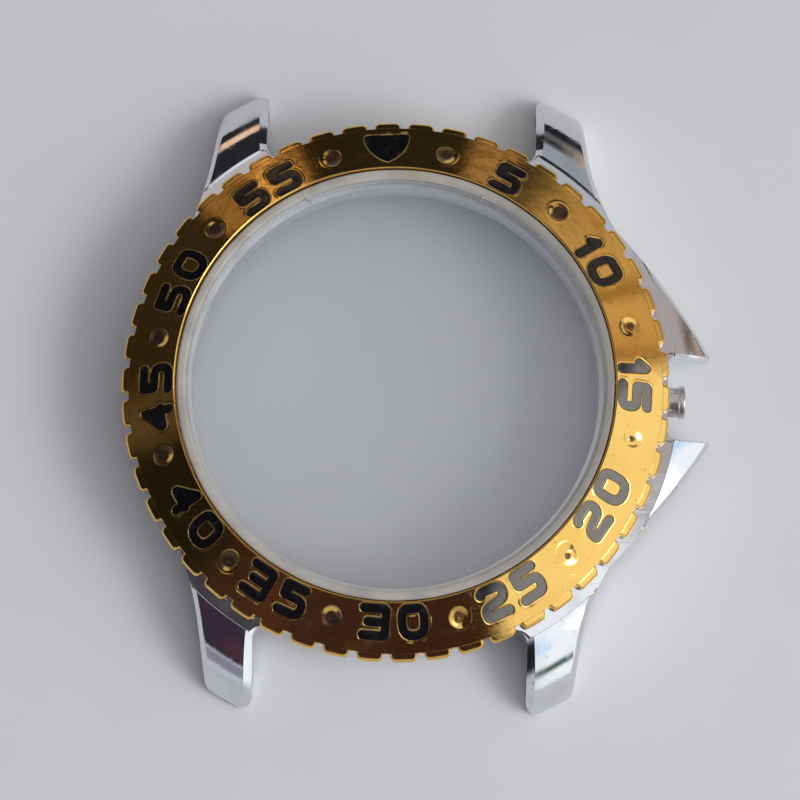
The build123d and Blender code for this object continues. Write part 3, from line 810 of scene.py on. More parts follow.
@dataclass
class CaseMiddle:
    """The plated case middle: barrel, lugs, guards, neck and the bores inside."""

    barrel_radius: float = 19.30
    core_radius: float = 18.90
    deck_height: float = 4.30
    deck_fall: float = 0.085
    seat_radius: float = 20.70
    shoulder_radius: float = 18.90
    shoulder_height: float = 4.80
    start_slope: float = 4.0
    lug_reach: float = 25.50
    lug_tip_top: float = 0.45
    lug_drop: float = 0.60
    lug_under_radius: float = 23.60
    foot_sag: float = 0.15
    rim_bevel: float = 0.45
    lug_inner: float = 10.00
    lug_tip_width: float = 3.45
    waist: Pair = (13.85, 18.40)
    flank_right: Pair = (16.00, 12.40)
    flank_left: Pair = (15.95, 10.70)
    root_fillet: float = 1.20
    inner_corner: float = 0.75
    outer_corner: float = 0.90
    guard_tip: Pair = (23.20, 3.10)
    guard_sag: float = 0.28
    guard_rise: float = 0.1923
    recess_x: float = 19.95
    recess_corner: float = 0.60
    edge_bevel: float = 0.32
    inner_bevel: float = 0.60
    easing_bevel: float = 0.42
    bevel_turns: tuple[float, ...] = (32.4, 34.4, 35.6, 38.2, 39.2, 41.5)
    tip_bevel: float = 0.20
    tip_round: float = 0.30
    tip_turns: tuple[float, ...] = (79.6, 80.2, 80.9, 82.2)
    seat_crease: tuple[float, ...] = (20.74, 20.70, 20.64, 20.60)
    step_width: float = 0.06
    crease_round: float = 0.05
    under_round: float = 0.12
    neck_radius: float = 15.89
    neck_bore: float = 15.57
    neck_top: float = 7.31
    ledge_height: float = 6.10
    rehaut_radius: float = 14.85
    rehaut_base: float = 3.65
    movement_radius: float = 15.40
    wire_groove: Pair = (5.22, 5.82)
    wire_seat: float = 15.64
    back_radius: float = 16.90
    back_depth: float = 1.00
    seal_groove: Pair = (15.85, 16.55)
    seal_depth: float = 0.30
    snap_depth: float = 0.12
    snap_height: float = 0.30
    bar_place: Pair = (21.30, 1.25)
    bar_radius: float = 0.50
    bar_reach: Pair = (-0.5, 1.6)
    tube_height: float = 2.15
    tube_cut: Triple = (14.6, 21.0, 1.0)
    notch_size: Triple = (5.0, 5.0, 0.45)
    notch_turn: float = 225.0
    weld: float = 0.00001
    guard_share: float = 0.8
    barrel_points: int = 80
    side_points: int = 50
    corner_points: int = 34
    line_points: int = 36
    bend_points: int = 100
    rest_points: int = 90
    guard_points: int = 150
    recess_points: tuple[int, int, int, int] = (16, 30, 24, 16)

    def dome(self, radius: np.ndarray) -> np.ndarray:
        """The lugs' top: an arc over the radius that leaves the shoulder at the start slope and
        ends at the tips' height.

        Args:
            radius: distances from the case axis.

        Returns:
            The top's height at each.
        """
        run = self.lug_reach - self.shoulder_radius
        drop = self.shoulder_height - self.lug_tip_top
        slope = math.radians(self.start_slope)
        arc_radius = (run**2 + drop**2) / (2 * (drop * math.cos(slope) - run * math.sin(slope)))
        centre = self.shoulder_radius - arc_radius * math.sin(slope)
        height = self.shoulder_height - arc_radius * math.cos(slope)
        reach = np.clip(radius, self.shoulder_radius, self.lug_reach + 0.5)
        return height + np.sqrt(np.maximum(arc_radius**2 - (reach - centre) ** 2, 0.0))

    def under(self, x: np.ndarray, y: np.ndarray) -> np.ndarray:
        """The underside's height: flat feet, a hollow arc up to the back rim's bevel, the rim at
        zero, and a slope under the guards, whichever is highest.

        Args:
            x: plan coordinates.
            y: plan coordinates.

        Returns:
            The underside's height at each.
        """
        radius = np.hypot(x, y)
        run = self.lug_under_radius - self.barrel_radius
        share = np.clip((self.lug_under_radius - radius) / run, 0, 1)
        hollow = -self.lug_drop + share * (self.rim_bevel + self.lug_drop)
        hollow = hollow + self.foot_sag * 4 * share * (1 - share)
        rim = np.clip(radius - (self.barrel_radius - self.rim_bevel), 0, self.rim_bevel)
        turned = np.where(radius < self.barrel_radius, rim, hollow)
        slope = self.rim_bevel + (np.abs(x) - self.barrel_radius) * self.guard_rise
        return np.where(x > self.core_radius * self.guard_share, np.maximum(turned, slope), turned)

    def lug_side(self, flank: Pair) -> tuple[np.ndarray, np.ndarray, np.ndarray]:
        """One lug's outline from twelve o'clock to its flank, on the right-hand side.

        The path is the barrel's arc, the root fillet, the straight inner side, the end's arc
        between two round corners, the straight outer side, and an arc tangent to it that ends at
        the flank.

        Args:
            flank: where the lug's outer side ends.

        Returns:
            The outline's points, the angle of each point's anchor, and each point's bevel.
        """
        centre_x = self.lug_inner - self.root_fillet
        root = (centre_x, math.sqrt((self.barrel_radius + self.root_fillet) ** 2 - centre_x**2))
        root_angle = math.degrees(math.atan2(root[0], root[1]))
        barrel = arc((0, 0), self.barrel_radius, 90, 90 - root_angle, self.barrel_points)
        start = math.degrees(math.atan2(-root[1], -root[0]))
        fillet = arc(root, self.root_fillet, start, 0, self.side_points)
        inner_x = self.lug_inner + self.inner_corner
        inner = (inner_x, math.sqrt((self.lug_reach - self.inner_corner) ** 2 - inner_x**2))
        inner_turn = math.degrees(math.atan2(inner[1], inner[0]))
        side = straight((self.lug_inner, root[1]), (self.lug_inner, inner[1]), self.side_points)
        corner = arc(inner, self.inner_corner, 180, inner_turn, self.corner_points)
        tip_x = self.lug_inner + self.lug_tip_width
        tip = np.array([tip_x, math.sqrt(self.lug_reach**2 - tip_x**2)])
        waist = np.array(self.waist)
        heading = (waist - tip) / np.linalg.norm(waist - tip)
        inward = np.array([heading[1], -heading[0]])
        middle = self._outer_centre(tip, heading, inward)
        outer_turn = math.degrees(math.atan2(middle[1], middle[0]))
        end_turn = math.degrees(math.atan2(-inward[1], -inward[0]))
        end = arc((0, 0), self.lug_reach, inner_turn, outer_turn, self.side_points)
        outer = arc(tuple(middle), self.outer_corner, outer_turn, end_turn, self.corner_points)
        line = straight(outer[-1], waist, self.line_points)
        bend = self._tangent_arc(waist, heading, np.array(flank), self.bend_points)
        pieces = [barrel, fillet, side, corner, end, outer, line, bend]
        flank_angle = math.degrees(math.atan2(flank[0], flank[1]))
        marks = [0.0, root_angle, *self.bevel_turns, flank_angle]
        edge, inner_edge = self.edge_bevel, self.inner_bevel
        bevels = [edge, edge, inner_edge, inner_edge, self.easing_bevel, edge, edge, edge, edge]
        return self._joined(pieces, marks, bevels)

    def _outer_centre(self, tip: np.ndarray, heading: np.ndarray, inward: np.ndarray) -> np.ndarray:
        """The centre of the lug's outer corner: on the outer side moved in by the corner's radius,
        and that radius inside the end's circle, where the line first crosses it.

        Args:
            tip: where the outer side would meet the end's circle.
            heading: the outer side's direction from there, of length 1.
            inward: the direction into the lug, of length 1.

        Returns:
            The centre.
        """
        base = tip + inward * self.outer_corner
        reach = self.lug_reach - self.outer_corner
        along = float(base @ heading)
        gap = float(base @ base) - reach**2
        return base + heading * (-along - math.sqrt(along**2 - gap))

    @staticmethod
    def _tangent_arc(start: np.ndarray, heading: np.ndarray, end: np.ndarray, count: int) -> np.ndarray:
        """The arc that leaves a point in a direction and reaches another point: its centre lies on
        the normal at the start, at a distance of chord squared over twice the chord's share of it.

        Args:
            start: where the arc starts.
            heading: its direction there, of length 1.
            end: the point that it reaches.
            count: how many points it has.

        Returns:
            The arc's points.
        """
        normal = np.array([-heading[1], heading[0]])
        chord = end - start
        radius = float(chord @ chord) / (2 * float(chord @ normal))
        centre = start + normal * radius
        first = math.degrees(math.atan2(*(start - centre)[::-1]))
        last = math.degrees(math.atan2(*(end - centre)[::-1]))
        if last - first > 180:
            last -= 360
        if first - last > 180:
            last += 360
        return arc(tuple(centre), abs(radius), first, last, count)

    @staticmethod
    def _joined(
        pieces: list[np.ndarray], marks: list[float], bevels: list[float]
    ) -> tuple[np.ndarray, np.ndarray, np.ndarray]:
        """Join outline pieces; anchors and bevels run straight between each piece's ends.

        Args:
            pieces: the stretches of the outline, each starting where the last ended.
            marks: the anchor's angle at each piece's ends.
            bevels: the bevel's width at each piece's ends.

        Returns:
            The points, their anchor angles and their bevel widths.
        """
        points = np.concatenate([piece[:-1] for piece in pieces])
        anchors = np.concatenate(
            [np.linspace(low, high, len(p))[:-1] for p, low, high in zip(pieces, marks, marks[1:])]
        )
        widths = np.concatenate(
            [np.linspace(low, high, len(p))[:-1] for p, low, high in zip(pieces, bevels, bevels[1:])]
        )
        return points, anchors, widths

    def guard_side(self) -> tuple[np.ndarray, np.ndarray, np.ndarray]:
        """The outline from the right flank to three o'clock: a crown guard's bowed outer side, its
        narrow round tip, its inner side, a fillet and the flat behind the crown tube.

        Returns:
            The points, their anchor angles and their bevel widths.
        """
        flank = np.array(self.flank_right)
        tip = np.array(self.guard_tip)
        chord = tip - flank
        length = float(np.linalg.norm(chord))
        outward = np.array([-chord[1], chord[0]]) / length
        nose_points, inner_points, fillet_points, flat_points = self.recess_points
        share = np.linspace(0.0, 1.0, self.guard_points)
        bow = flank + share[:, None] * chord + outward * (self.guard_sag * 4 * share * (1 - share))[:, None]
        bow = bow[:-3]
        before = bow[-1] - bow[-6]
        before = before / np.linalg.norm(before)
        entry = tip - before * self.tip_round
        leave = tip - np.array([self.tip_round, 0.0])
        turn = np.linspace(0.0, 1.0, nose_points)[:, None]
        nose = entry * (1 - turn) ** 2 + 2 * tip * turn * (1 - turn) + leave * turn**2
        corner = (self.recess_x + self.recess_corner, self.guard_tip[1] - self.recess_corner)
        inner = straight(leave, (corner[0], self.guard_tip[1]), inner_points)
        fillet = arc(corner, self.recess_corner, 90, 180, fillet_points)
        flat = straight((self.recess_x, corner[1]), (self.recess_x, 0.0), flat_points)
        keep = bow[np.linalg.norm(bow - tip, axis=1) > self.tip_round + 0.02]
        keep = np.concatenate([keep, entry[None]])
        flank_angle = math.degrees(math.atan2(flank[0], flank[1]))
        marks = [flank_angle, *self.tip_turns, 90.0]
        edge = self.edge_bevel
        bevels = [edge, self.tip_bevel, self.tip_bevel, edge, edge, edge]
        return self._joined([keep, nose, inner, fillet, flat], marks, bevels)

    def outline(self) -> tuple[np.ndarray, np.ndarray, np.ndarray]:
        """The whole outline, clockwise from twelve.

        Returns:
            The outline's points, each point's anchor on the core's circle, and its bevel width.
        """
        lug, lug_anchor, lug_bevel = self.lug_side(self.flank_right)
        guard, guard_anchor, guard_bevel = self.guard_side()
        right = np.concatenate([lug, guard])
        right_turn = np.concatenate([lug_anchor, guard_anchor])
        right_bevel = np.concatenate([lug_bevel, guard_bevel])
        left, left_turn, left_bevel = self.lug_side(self.flank_left)
        outside = np.hypot(*left.T) >= self.barrel_radius - 1e-6
        left, left_turn, left_bevel = left[outside], left_turn[outside], left_bevel[outside]
        last = math.degrees(math.atan2(*left[-1]))
        rest = arc((0, 0), self.barrel_radius, 90 - last, 0, self.rest_points)[1:]
        rest_turn = np.linspace(last, 90, self.rest_points)[1:]
        left = np.concatenate([left, rest])
        left_turn = np.concatenate([left_turn, rest_turn])
        left_bevel = np.concatenate([left_bevel, np.full(len(rest), self.edge_bevel)])
        points, anchors, bevels = [], [], []
        halves = [(right, right_turn, right_bevel, 1), (left, left_turn, left_bevel, -1)]
        for half, turn, bevel, side in halves:
            angle = np.radians(turn)
            anchor = self.core_radius * np.stack([np.sin(angle), np.cos(angle)], axis=1)
            upper = [half * (side, 1), anchor * (side, 1), bevel]
            lower = [half * (side, -1), anchor * (side, -1), bevel]
            first, second = (upper, lower) if side == 1 else (lower, upper)
            points += [first[0][:-1], second[0][:0:-1]]
            anchors += [first[1][:-1], second[1][:0:-1]]
            bevels += [first[2][:-1], second[2][:0:-1]]
        return np.concatenate(points), np.concatenate(anchors), np.concatenate(bevels)

    def shell(self) -> Piece:
        """The outer part of the case middle, carried along the outline.

        At each point of the outline a section runs from the anchor on the core's circle out over
        the deck, up the seat's step, over the dome, down the bevel and the wall, and back under.
        The top's height is the lesser of the deck or dome and of the bevel's slope.

        Returns:
            The shell as a closed mesh object.
        """
        edge, anchor, bevel = self.outline()
        ahead = np.roll(edge, -1, axis=0) - np.roll(edge, 1, axis=0)
        inward = np.stack([ahead[:, 1], -ahead[:, 0]], axis=1)
        inward = inward / np.linalg.norm(inward, axis=1)[:, None]
        shares = np.array([0.0, 0.05, 0.14, 0.28, 0.44, 0.60, 0.76, 0.90, 1.0])
        over = edge[:, None] + inward[:, None] * (shares[None, :, None] * bevel[:, None, None])
        start = over[:, -1]
        toward = anchor - start
        places = [self._crossing(start, toward, radius) for radius in self.seat_crease]
        far = np.linspace(0.0, 1.0, 11)[1:-1][None, :] * places[0][:, None]
        near = places[3][:, None] + np.linspace(0.0, 1.0, 5)[1:][None, :] * (1 - places[3])[:, None]
        along = np.concatenate([far, np.stack(places, axis=1), near], axis=1)
        across = start[:, None] + along[:, :, None] * toward[:, None]
        top = np.concatenate([over, across], axis=1)
        radius = np.hypot(top[..., 0], top[..., 1])
        seat = smooth_step(radius, self.seat_radius - self.step_width, self.seat_radius)
        deck = self.deck_height - self.deck_fall * np.clip(radius - self.core_radius, 0.0, 2.0)
        roof = deck + (self.dome(radius) - deck) * seat
        width = np.zeros(top.shape[:2])
        width[:, : len(shares)] = bevel[:, None] * (1 - shares[None, :])
        height = soft_least(roof, self.dome(radius) - width, self.crease_round)
        height = np.where(width > 0, height, roof)
        top = np.concatenate([top, height[..., None]], axis=-1)
        base = self._underneath(edge, inward, anchor)
        drop = np.linspace(0.0, 1.0, 9)[1:-1][None, :, None]
        wall = top[:, :1] * (1 - drop) + base[:, :1] * drop
        section = np.concatenate([top[:, ::-1], wall, base], axis=1)
        return grid_piece("case_shell", section)

    @staticmethod
    def _crossing(start: np.ndarray, toward: np.ndarray, radius: float) -> np.ndarray:
        """How far along each line, from 0 to 1, it crosses a circle round the axis; 0 where it
        starts inside the circle. The roots of the line's squared distance give it. The share stays
        under 0.96, so that points never meet at the anchor.

        Args:
            start: where each line starts.
            toward: from there to its end.
            radius: the circle's radius.

        Returns:
            The share of each line.
        """
        a = (toward**2).sum(1)
        b = (start * toward).sum(1)
        c = (start**2).sum(1) - radius**2
        root = (-b - np.sqrt(np.maximum(b**2 - a * c, 0.0))) / a
        return np.clip(np.where(c > 0, root, 0.0), 0.0, 0.96)

    def _underneath(self, edge: np.ndarray, inward: np.ndarray, anchor: np.ndarray) -> np.ndarray:
        """The section's lower side: a small rounded edge, then straight in to the anchor.

        Args:
            edge: the outline's points.
            inward: the direction into the case at each.
            anchor: the end of each section on the core's circle.

        Returns:
            The lower points of every section.
        """
        shares = np.array([0.0, 0.13, 0.5, 1.0])
        lift = np.array([1.0, 0.5, 0.13, 0.0]) * self.under_round
        near = edge[:, None] + inward[:, None] * (shares * self.under_round)[None, :, None]
        along = np.linspace(0.0, 1.0, 12)[1:][None, :, None]
        far = near[:, -1:] * (1 - along) + anchor[:, None] * along
        plan = np.concatenate([near, far], axis=1)
        height = self.under(plan[..., 0], plan[..., 1])
        height[:, : len(shares)] += lift[None, :]
        return np.concatenate([plan, height[..., None]], axis=-1)

    def core(self) -> Piece:
        """The turned inner part: back rim and bores, inner wall, ledge, neck and deck.

        Returns:
            The core as a closed mesh object.
        """
        rim = self.core_radius - (self.barrel_radius - self.rim_bevel)
        wire_base, wire_roof = self.wire_groove
        seal_inner, seal_outer = self.seal_groove
        seal_roof = self.back_depth + self.seal_depth
        corners = [
            (self.core_radius, rim),
            (self.core_radius, self.deck_height),
            (self.neck_radius, self.deck_height),
            (self.neck_radius, wire_base),
            (self.wire_seat, wire_base),
            (self.wire_seat, wire_roof),
            (self.neck_radius, wire_roof),
            (self.neck_radius, self.neck_top),
            (self.neck_bore, self.neck_top),
            (self.neck_bore, self.ledge_height),
            (self.rehaut_radius, self.ledge_height),
            (self.rehaut_radius, self.rehaut_base),
            (self.movement_radius, self.rehaut_base),
            (self.movement_radius, self.back_depth),
            (seal_inner, self.back_depth),
            (seal_inner, seal_roof),
            (seal_outer, seal_roof),
            (seal_outer, self.back_depth),
            (self.back_radius, self.back_depth),
            (self.back_radius + self.snap_depth, self.back_depth - self.snap_height / 2),
            (self.back_radius, self.back_depth - self.snap_height),
            (self.back_radius, 0.0),
            (self.core_radius - rim, 0.0),
        ]
        return lathe("case_core", rounded_profile(corners, 0.05, 3))

    def cutters(self) -> list[Piece]:
        """What is cut out of shell and core: four spring-bar holes, the tube's bore, a pry notch.

        Returns:
            The closed meshes to cut away.
        """
        place_y, place_z = self.bar_place
        made = []
        for side_x in (-1, 1):
            for side_y in (-1, 1):
                start, end = (side_x * (self.lug_inner + reach) for reach in self.bar_reach)
                made.append(rod("cut_bar", start, end, side_y * place_y, place_z, self.bar_radius))
        tube_start, tube_end, tube_radius = self.tube_cut
        made.append(rod("cut_tube", tube_start, tube_end, 0.0, self.tube_height, tube_radius))
        width, length, notch_top = self.notch_size
        half, near, far = width / 2, self.back_radius, self.back_radius + length
        notch = np.array([[-half, near], [half, near], [half, far], [-half, far]])
        turn = math.radians(self.notch_turn - 90)
        spin = np.array([[math.cos(turn), math.sin(turn)], [-math.sin(turn), math.cos(turn)]])
        plan = notch @ spin
        rings = [np.concatenate([plan, np.full((4, 1), z)], axis=1) for z in (-1.0, notch_top)]
        centres = [np.tile(ring.mean(0), (4, 1)) for ring in rings]
        block = np.stack([centres[0], rings[0], rings[1], centres[1]])
        cutter = grid_piece("cut_notch", block, wrap_rows=False)
        tidy_mesh(cutter)
        return [*made, cutter]

    def build(self, plating: Material) -> None:
        """Make the shell and the core, cut them and dress them.

        Args:
            plating: the case's finish.
        """
        for make in (self.shell, self.core):
            piece = make()
            tidy_mesh(piece, weld=self.weld)
            cut_away(piece, self.cutters())
            tidy_mesh(piece, 32.0, self.weld)
            dress(piece, plating, "plated_case", "case", "case_middle")


def rod(name: str, start: float, end: float, y: float, z: float, radius: float) -> Piece:
    """A closed rod along the X axis, used as a cutter: circles at both ends and their centres.

    Args:
        name: the object's name.
        start: where it starts along X, in millimetres.
        end: where it ends.
        y: its axis's place along Y.
        z: its axis's height.
        radius: its radius.

    Returns:
        The rod as a closed mesh object.
    """
    sides = 48
    turn = full_turn(sides)
    rings = []
    for x, size in ((start, 0.0), (start, radius), (end, radius), (end, 0.0)):
        ring = [np.full(sides, x), y + size * np.cos(turn), z + size * np.sin(turn)]
        rings.append(np.stack(ring, axis=1))
    piece = grid_piece(name, np.stack(rings), wrap_rows=False)
    tidy_mesh(piece)
    return piece


class Glyph(Enum):
    """Digits as pen paths, in shares of the room that the pen leaves in the digit's box.

    Each digit has how far from each inner corner, in millimetres, the pen starts to round it, and
    its strokes. A corner with a third number has its own start of the rounding.
    """

    ZERO = (0.80, [[(0.0, 0.5), (0.5, 0.5), (0.5, -0.5), (-0.5, -0.5), (-0.5, 0.5), (0.0, 0.5)]])
    ONE = (0.10, [[(-0.52, 0.24), (0.22, 0.5), (0.22, -0.5)], [(0.30, 0.42), (0.30, -0.5)]])
    TWO = (0.50, [[(-0.5, 0.40), (-0.40, 0.5), (0.5, 0.5), (0.5, 0.02), (-0.5, -0.14),
                   (-0.5, -0.5, 0.12), (0.5, -0.5)]])
    THREE = (0.20, [[(-0.5, 0.5), (0.5, 0.5), (0.5, -0.5), (-0.5, -0.5)], [(-0.3, 0.0), (0.45, 0.0)]])
    FOUR = (0.06, [[(0.24, -0.5), (0.24, 0.5), (-0.5, -0.14), (0.36, -0.14)], [(0.0, 0.06), (0.1, 0.1)]])
    FIVE = (0.52, [[(0.44, 0.5), (-0.46, 0.5, 0.05), (-0.46, 0.08, 0.10), (0.5, 0.08), (0.5, -0.5),
                    (-0.5, -0.5)], [(-0.36, 0.42), (-0.36, 0.14)]])

    @classmethod
    def of(cls, digit: str) -> "Glyph":
        """The glyph for a digit from 0 to 5."""
        return list(cls)[int(digit)]

    def strokes(self, width: float, height: float) -> list[tuple[np.ndarray, np.ndarray]]:
        """The digit's straight pieces after its corners are rounded.

        Args:
            width: what the first coordinate's share is of.
            height: what the second coordinate's share is of.

        Returns:
            Start and end points of every piece, in millimetres.
        """
        cut, paths = self.value
        pieces = []
        for path in paths:
            corners = np.array([corner[:2] for corner in path]) * (width, height)
            cuts = [corner[2] if len(corner) > 2 else cut for corner in path]
            points = round_path(corners, cuts)
            pieces += list(zip(points, points[1:]))
        return pieces


@dataclass
class Marking:
    """One sunk marking of the band: a numeral or the triangle."""

    name: str
    angle: float
    digit_height: float = 2.50
    digit_width: float = 2.28
    one_width: float = 1.20
    pen: float = 0.66
    pitch: float = 9.25
    one_offsets: Pair = (-4.6, 2.6)
    ring: float = 17.41
    triangle_size: Pair = (3.40, 2.40)
    triangle_ring: float = 17.75
    triangle_corner: float = 0.30
    triangle_bow: float = 2.60
    turned_minutes: tuple[int, int] = (20, 40)

    def digits(self) -> list[tuple[str, float]]:
        """Each digit with its angle, clockwise from the bezel's own twelve.

        Returns:
            The digits, or "triangle", each with its angle in degrees.
        """
        if self.name == TRIANGLE:
            return [(TRIANGLE, self.angle)]
        text = self.name.lstrip("0")
        if "1" in text:
            offsets = self.one_offsets[: len(text)]
        else:
            offsets = [self.pitch * (n - (len(text) - 1) / 2) for n in range(len(text))]
        sign = -1 if self.turned() else 1
        return [(digit, self.angle + sign * offset) for digit, offset in zip(text, offsets)]

    def turned(self) -> bool:
        """Whether the numeral stands the other way up."""
        first, last = self.turned_minutes
        return self.name != TRIANGLE and first <= int(self.name) <= last

    def distance(self, digit: str, angle: float, x: np.ndarray, y: np.ndarray) -> np.ndarray:
        """The distance from plan points to a digit's edge, negative inside it.

        Points are first turned into the digit's own axes. The distance to a pen path is the least
        distance to its straight strokes less half the pen.

        Args:
            digit: a digit or "triangle".
            angle: the digit's place, in degrees clockwise.
            x: plan coordinates in the bezel's own axes.
            y: plan coordinates in the bezel's own axes.

        Returns:
            Signed distances in millimetres.
        """
        ring = self.triangle_ring if digit == TRIANGLE else self.ring
        turn = math.radians(angle)
        out_x, out_y = math.sin(turn), math.cos(turn)
        along = (x - ring * out_x) * out_y - (y - ring * out_y) * out_x
        up = (x - ring * out_x) * out_x + (y - ring * out_y) * out_y
        if self.turned():
            along, up = -along, -up
        if digit == TRIANGLE:
            return self._triangle(along, up)
        width = (self.one_width if digit == "1" else self.digit_width) - self.pen
        height = self.digit_height - self.pen
        nearest = np.full(x.shape, np.inf)
        for start, end in Glyph.of(digit).strokes(width, height):
            nearest = np.minimum(nearest, self._stroke(along, up, start, end))
        return nearest - self.pen / 2

    @staticmethod
    def _stroke(x: np.ndarray, y: np.ndarray, start: np.ndarray, end: np.ndarray) -> np.ndarray:
        """The distance to a straight stroke: to its nearest point, clamped between its ends.

        Args:
            x: coordinates along the digit.
            y: coordinates up the digit.
            start: the stroke's first point.
            end: its last point.

        Returns:
            The distances in millimetres.
        """
        run = end - start
        share = ((x - start[0]) * run[0] + (y - start[1]) * run[1]) / max(float(run @ run), 1e-9)
        share = np.clip(share, 0.0, 1.0)
        return np.hypot(x - start[0] - share * run[0], y - start[1] - share * run[1])

    def _triangle(self, x: np.ndarray, y: np.ndarray) -> np.ndarray:
        """The distance to a blunt triangle that points inwards: two sides bowed outwards as arcs of
        a wide circle and a flat top, joined by round corners.

        Args:
            x: coordinates along the band.
            y: coordinates outwards.

        Returns:
            Signed distances in millimetres.
        """
        half_width, half_height = self.triangle_size[0] / 2, self.triangle_size[1] / 2
        bow = self.triangle_bow
        side = np.hypot(np.abs(x) - half_width + bow, y - half_height) - bow
        flat = y - half_height
        corner = self.triangle_corner
        first = np.maximum(side + corner, 0.0)
        second = np.maximum(flat + corner, 0.0)
        outside = np.hypot(first, second) - corner
        sharp = np.maximum(side, flat)
        return np.where((side > -corner) & (flat > -corner), outside, sharp)


@dataclass
class TurningBezel:
    """The gilt bezel with its teeth, band, markings, dimples and enamel."""

    set_angle: float = 3.0
    radius: float = 20.05
    tooth_count: int = 50
    gap_radius: float = 0.28
    tooth_corner: float = 0.40
    base: float = 4.45
    edge_radius: float = 19.50
    edge_height: float = 5.46
    inner_radius: float = 16.11
    bore_radius: float = 15.97
    top: float = 7.70
    bore_bevel: float = 0.14
    roof: float = 4.95
    recess_radius: float = 18.90
    pocket_depth: float = 0.22
    pocket_wall: float = 0.10
    bead_height: float = 0.015
    bead_place: float = 0.11
    bead_width: float = 0.070
    ripple_height: float = 0.0022
    ripple_place: float = 0.34
    edge_drop: float = 0.020
    enamel_level: float = 0.062
    enamel_edge: float = 0.050
    lobe_round: float = 0.18
    lobe_rows: int = 13
    dimple_ring: float = 17.60
    dimple_radius: float = 0.76
    dimple_depth: float = 0.19
    pip_height: float = 0.04
    pip_radius: float = 0.13
    dimple_rim: float = 0.012
    dimple_seed: int = 7
    digit_reach: float = 8.5
    edge_reach: float = 2.0
    body: float = 0.45
    rim_round: float = 0.05
    wire_seat: float = 16.24
    wire_groove: Pair = (5.22, 5.82)
    groove_depth: float = 0.012
    digit_patch: Pair = (4.6, 18.8)
    triangle_patch: Pair = (6.2, 19.2)
    patch_grid: tuple[int, int] = (84, 76)
    enamel_body: float = 0.40
    enamel_ripple: float = 0.005
    dive_start: float = 0.02
    dive_reach: float = 0.14
    dive_slope: float = 2.2
    columns: int = 1400
    rows: int = 66
    seams: Pair = (8.0, 192.0)
    markings: dict[str, float] = field(
        default_factory=lambda: {
            TRIANGLE: -0.3, "05": 29.9, "10": 60.1, "15": 91.8, "20": 122.1, "25": 153.0,
            "30": 182.1, "35": 211.6, "40": 238.4, "45": 268.6, "50": 297.8, "55": 329.2,
        }
    )
    # each dimple's share of painted dark bottom, shade with some grime, larger on the side away from the
    # lamp; it also sets the bowl's depth
    dimples: dict[float, float] = field(
        default_factory=lambda: {
            13.9: 0.55, 44.4: 0.72, 77.5: 0.42, 104.7: 0.30, 136.7: 0.32, 166.6: 0.45,
            196.9: 0.68, 224.7: 0.80, 254.7: 0.78, 283.1: 0.74, 313.1: 0.70, 346.2: 0.66,
        }
    )

    def placed(self, turn: np.ndarray, radius: np.ndarray, height: np.ndarray) -> np.ndarray:
        """Points of the case's frame from own angles clockwise in degrees, radii and heights."""
        angle = np.radians(90.0 - turn + self.set_angle)
        return np.stack([radius * np.cos(angle), radius * np.sin(angle), height], axis=-1)

    def cone(self, radius: np.ndarray) -> np.ndarray:
        """The band's plain slope: straight from the inner edge's height to the outer edge's."""
        share = (radius - self.inner_radius) / (self.edge_radius - self.inner_radius)
        return self.top - share * (self.top - self.edge_height)

    def nearest_edge(self, turn: np.ndarray, radius: np.ndarray) -> np.ndarray:
        """The distance to the nearest marking's edge, worked out only for the angles near a digit.

        Args:
            turn: own angles in degrees, clockwise, one row per angle.
            radius: radii in millimetres.

        Returns:
            Signed distances, negative inside a marking, at most 2 mm.
        """
        x, y = plan_of(turn, radius)
        nearest = np.full(turn.shape, self.edge_reach)
        for name, angle in self.markings.items():
            marking = Marking(name, angle)
            for digit, place in marking.digits():
                away = np.abs((turn[:, 0] - place + 180.0) % 360.0 - 180.0)
                rows = away < self.digit_reach
                if rows.any():
                    found = marking.distance(digit, place, x[rows], y[rows])
                    nearest[rows] = np.minimum(nearest[rows], found)
        return nearest

    def relief(self, turn: np.ndarray, radius: np.ndarray) -> tuple[np.ndarray, np.ndarray]:
        """How far the stamped markings and dimples raise or sink the band, and where painted shade with
        some grime darkens it.

        The metal rounds over at a marking's edge, drops over the wall's width to the pocket's depth
        and stands up beside the edge as a thin bead of uneven height, with a faint ripple farther
        out. A thin line of painted shade runs along each marking's edge. Dimples are shallow bowls
        whose flat bottoms are painted dark brown, shade with some grime.

        Args:
            turn: own angles in degrees, clockwise.
            radius: radii in millimetres.

        Returns:
            Heights to add in millimetres, and the painted shade with grime, from 0 to 1.
        """
        x, y = plan_of(turn, radius)
        nearest = self.nearest_edge(turn, radius)
        wander = np.sin(3.1 * x + 1.7 * y) * np.sin(2.3 * y - 1.9 * x + 1.0)
        uneven = 0.45 + 1.1 * smooth_step(wander, 0.2, 0.9)
        bead = self.bead_height * uneven * hill(nearest - self.bead_place, self.bead_width)
        ripple = self.ripple_height * uneven * hill(nearest - self.ripple_place, self.bead_width)
        height = bead + ripple - self.edge_drop * (1 - smooth_step(nearest, -0.02, 0.06))
        sunk = self.pocket_depth - self.edge_drop
        height = height - sunk * smooth_step(-nearest, 0.0, self.pocket_wall)
        # painted shade: a thin dark line along each marking's edge, where the metal drops into the pocket
        dirt_and_shade = 0.75 * hill(nearest - 0.01, 0.05) * (nearest > -0.3)
        draws = np.random.default_rng(self.dimple_seed)
        seeds = draws.uniform(-1, 1, (len(self.dimples), 4))
        for (angle, spot), seed in zip(self.dimples.items(), seeds):
            sunk, dull_and_shade = self._dimple(x, y, angle, spot, seed)
            height, dirt_and_shade = height + sunk, np.maximum(dirt_and_shade, dull_and_shade)
        inner = 1 - smooth_step(radius, self.inner_radius, self.inner_radius + 0.25)
        height = np.where(height > 0, height * (1 - inner), height)
        return height, dirt_and_shade

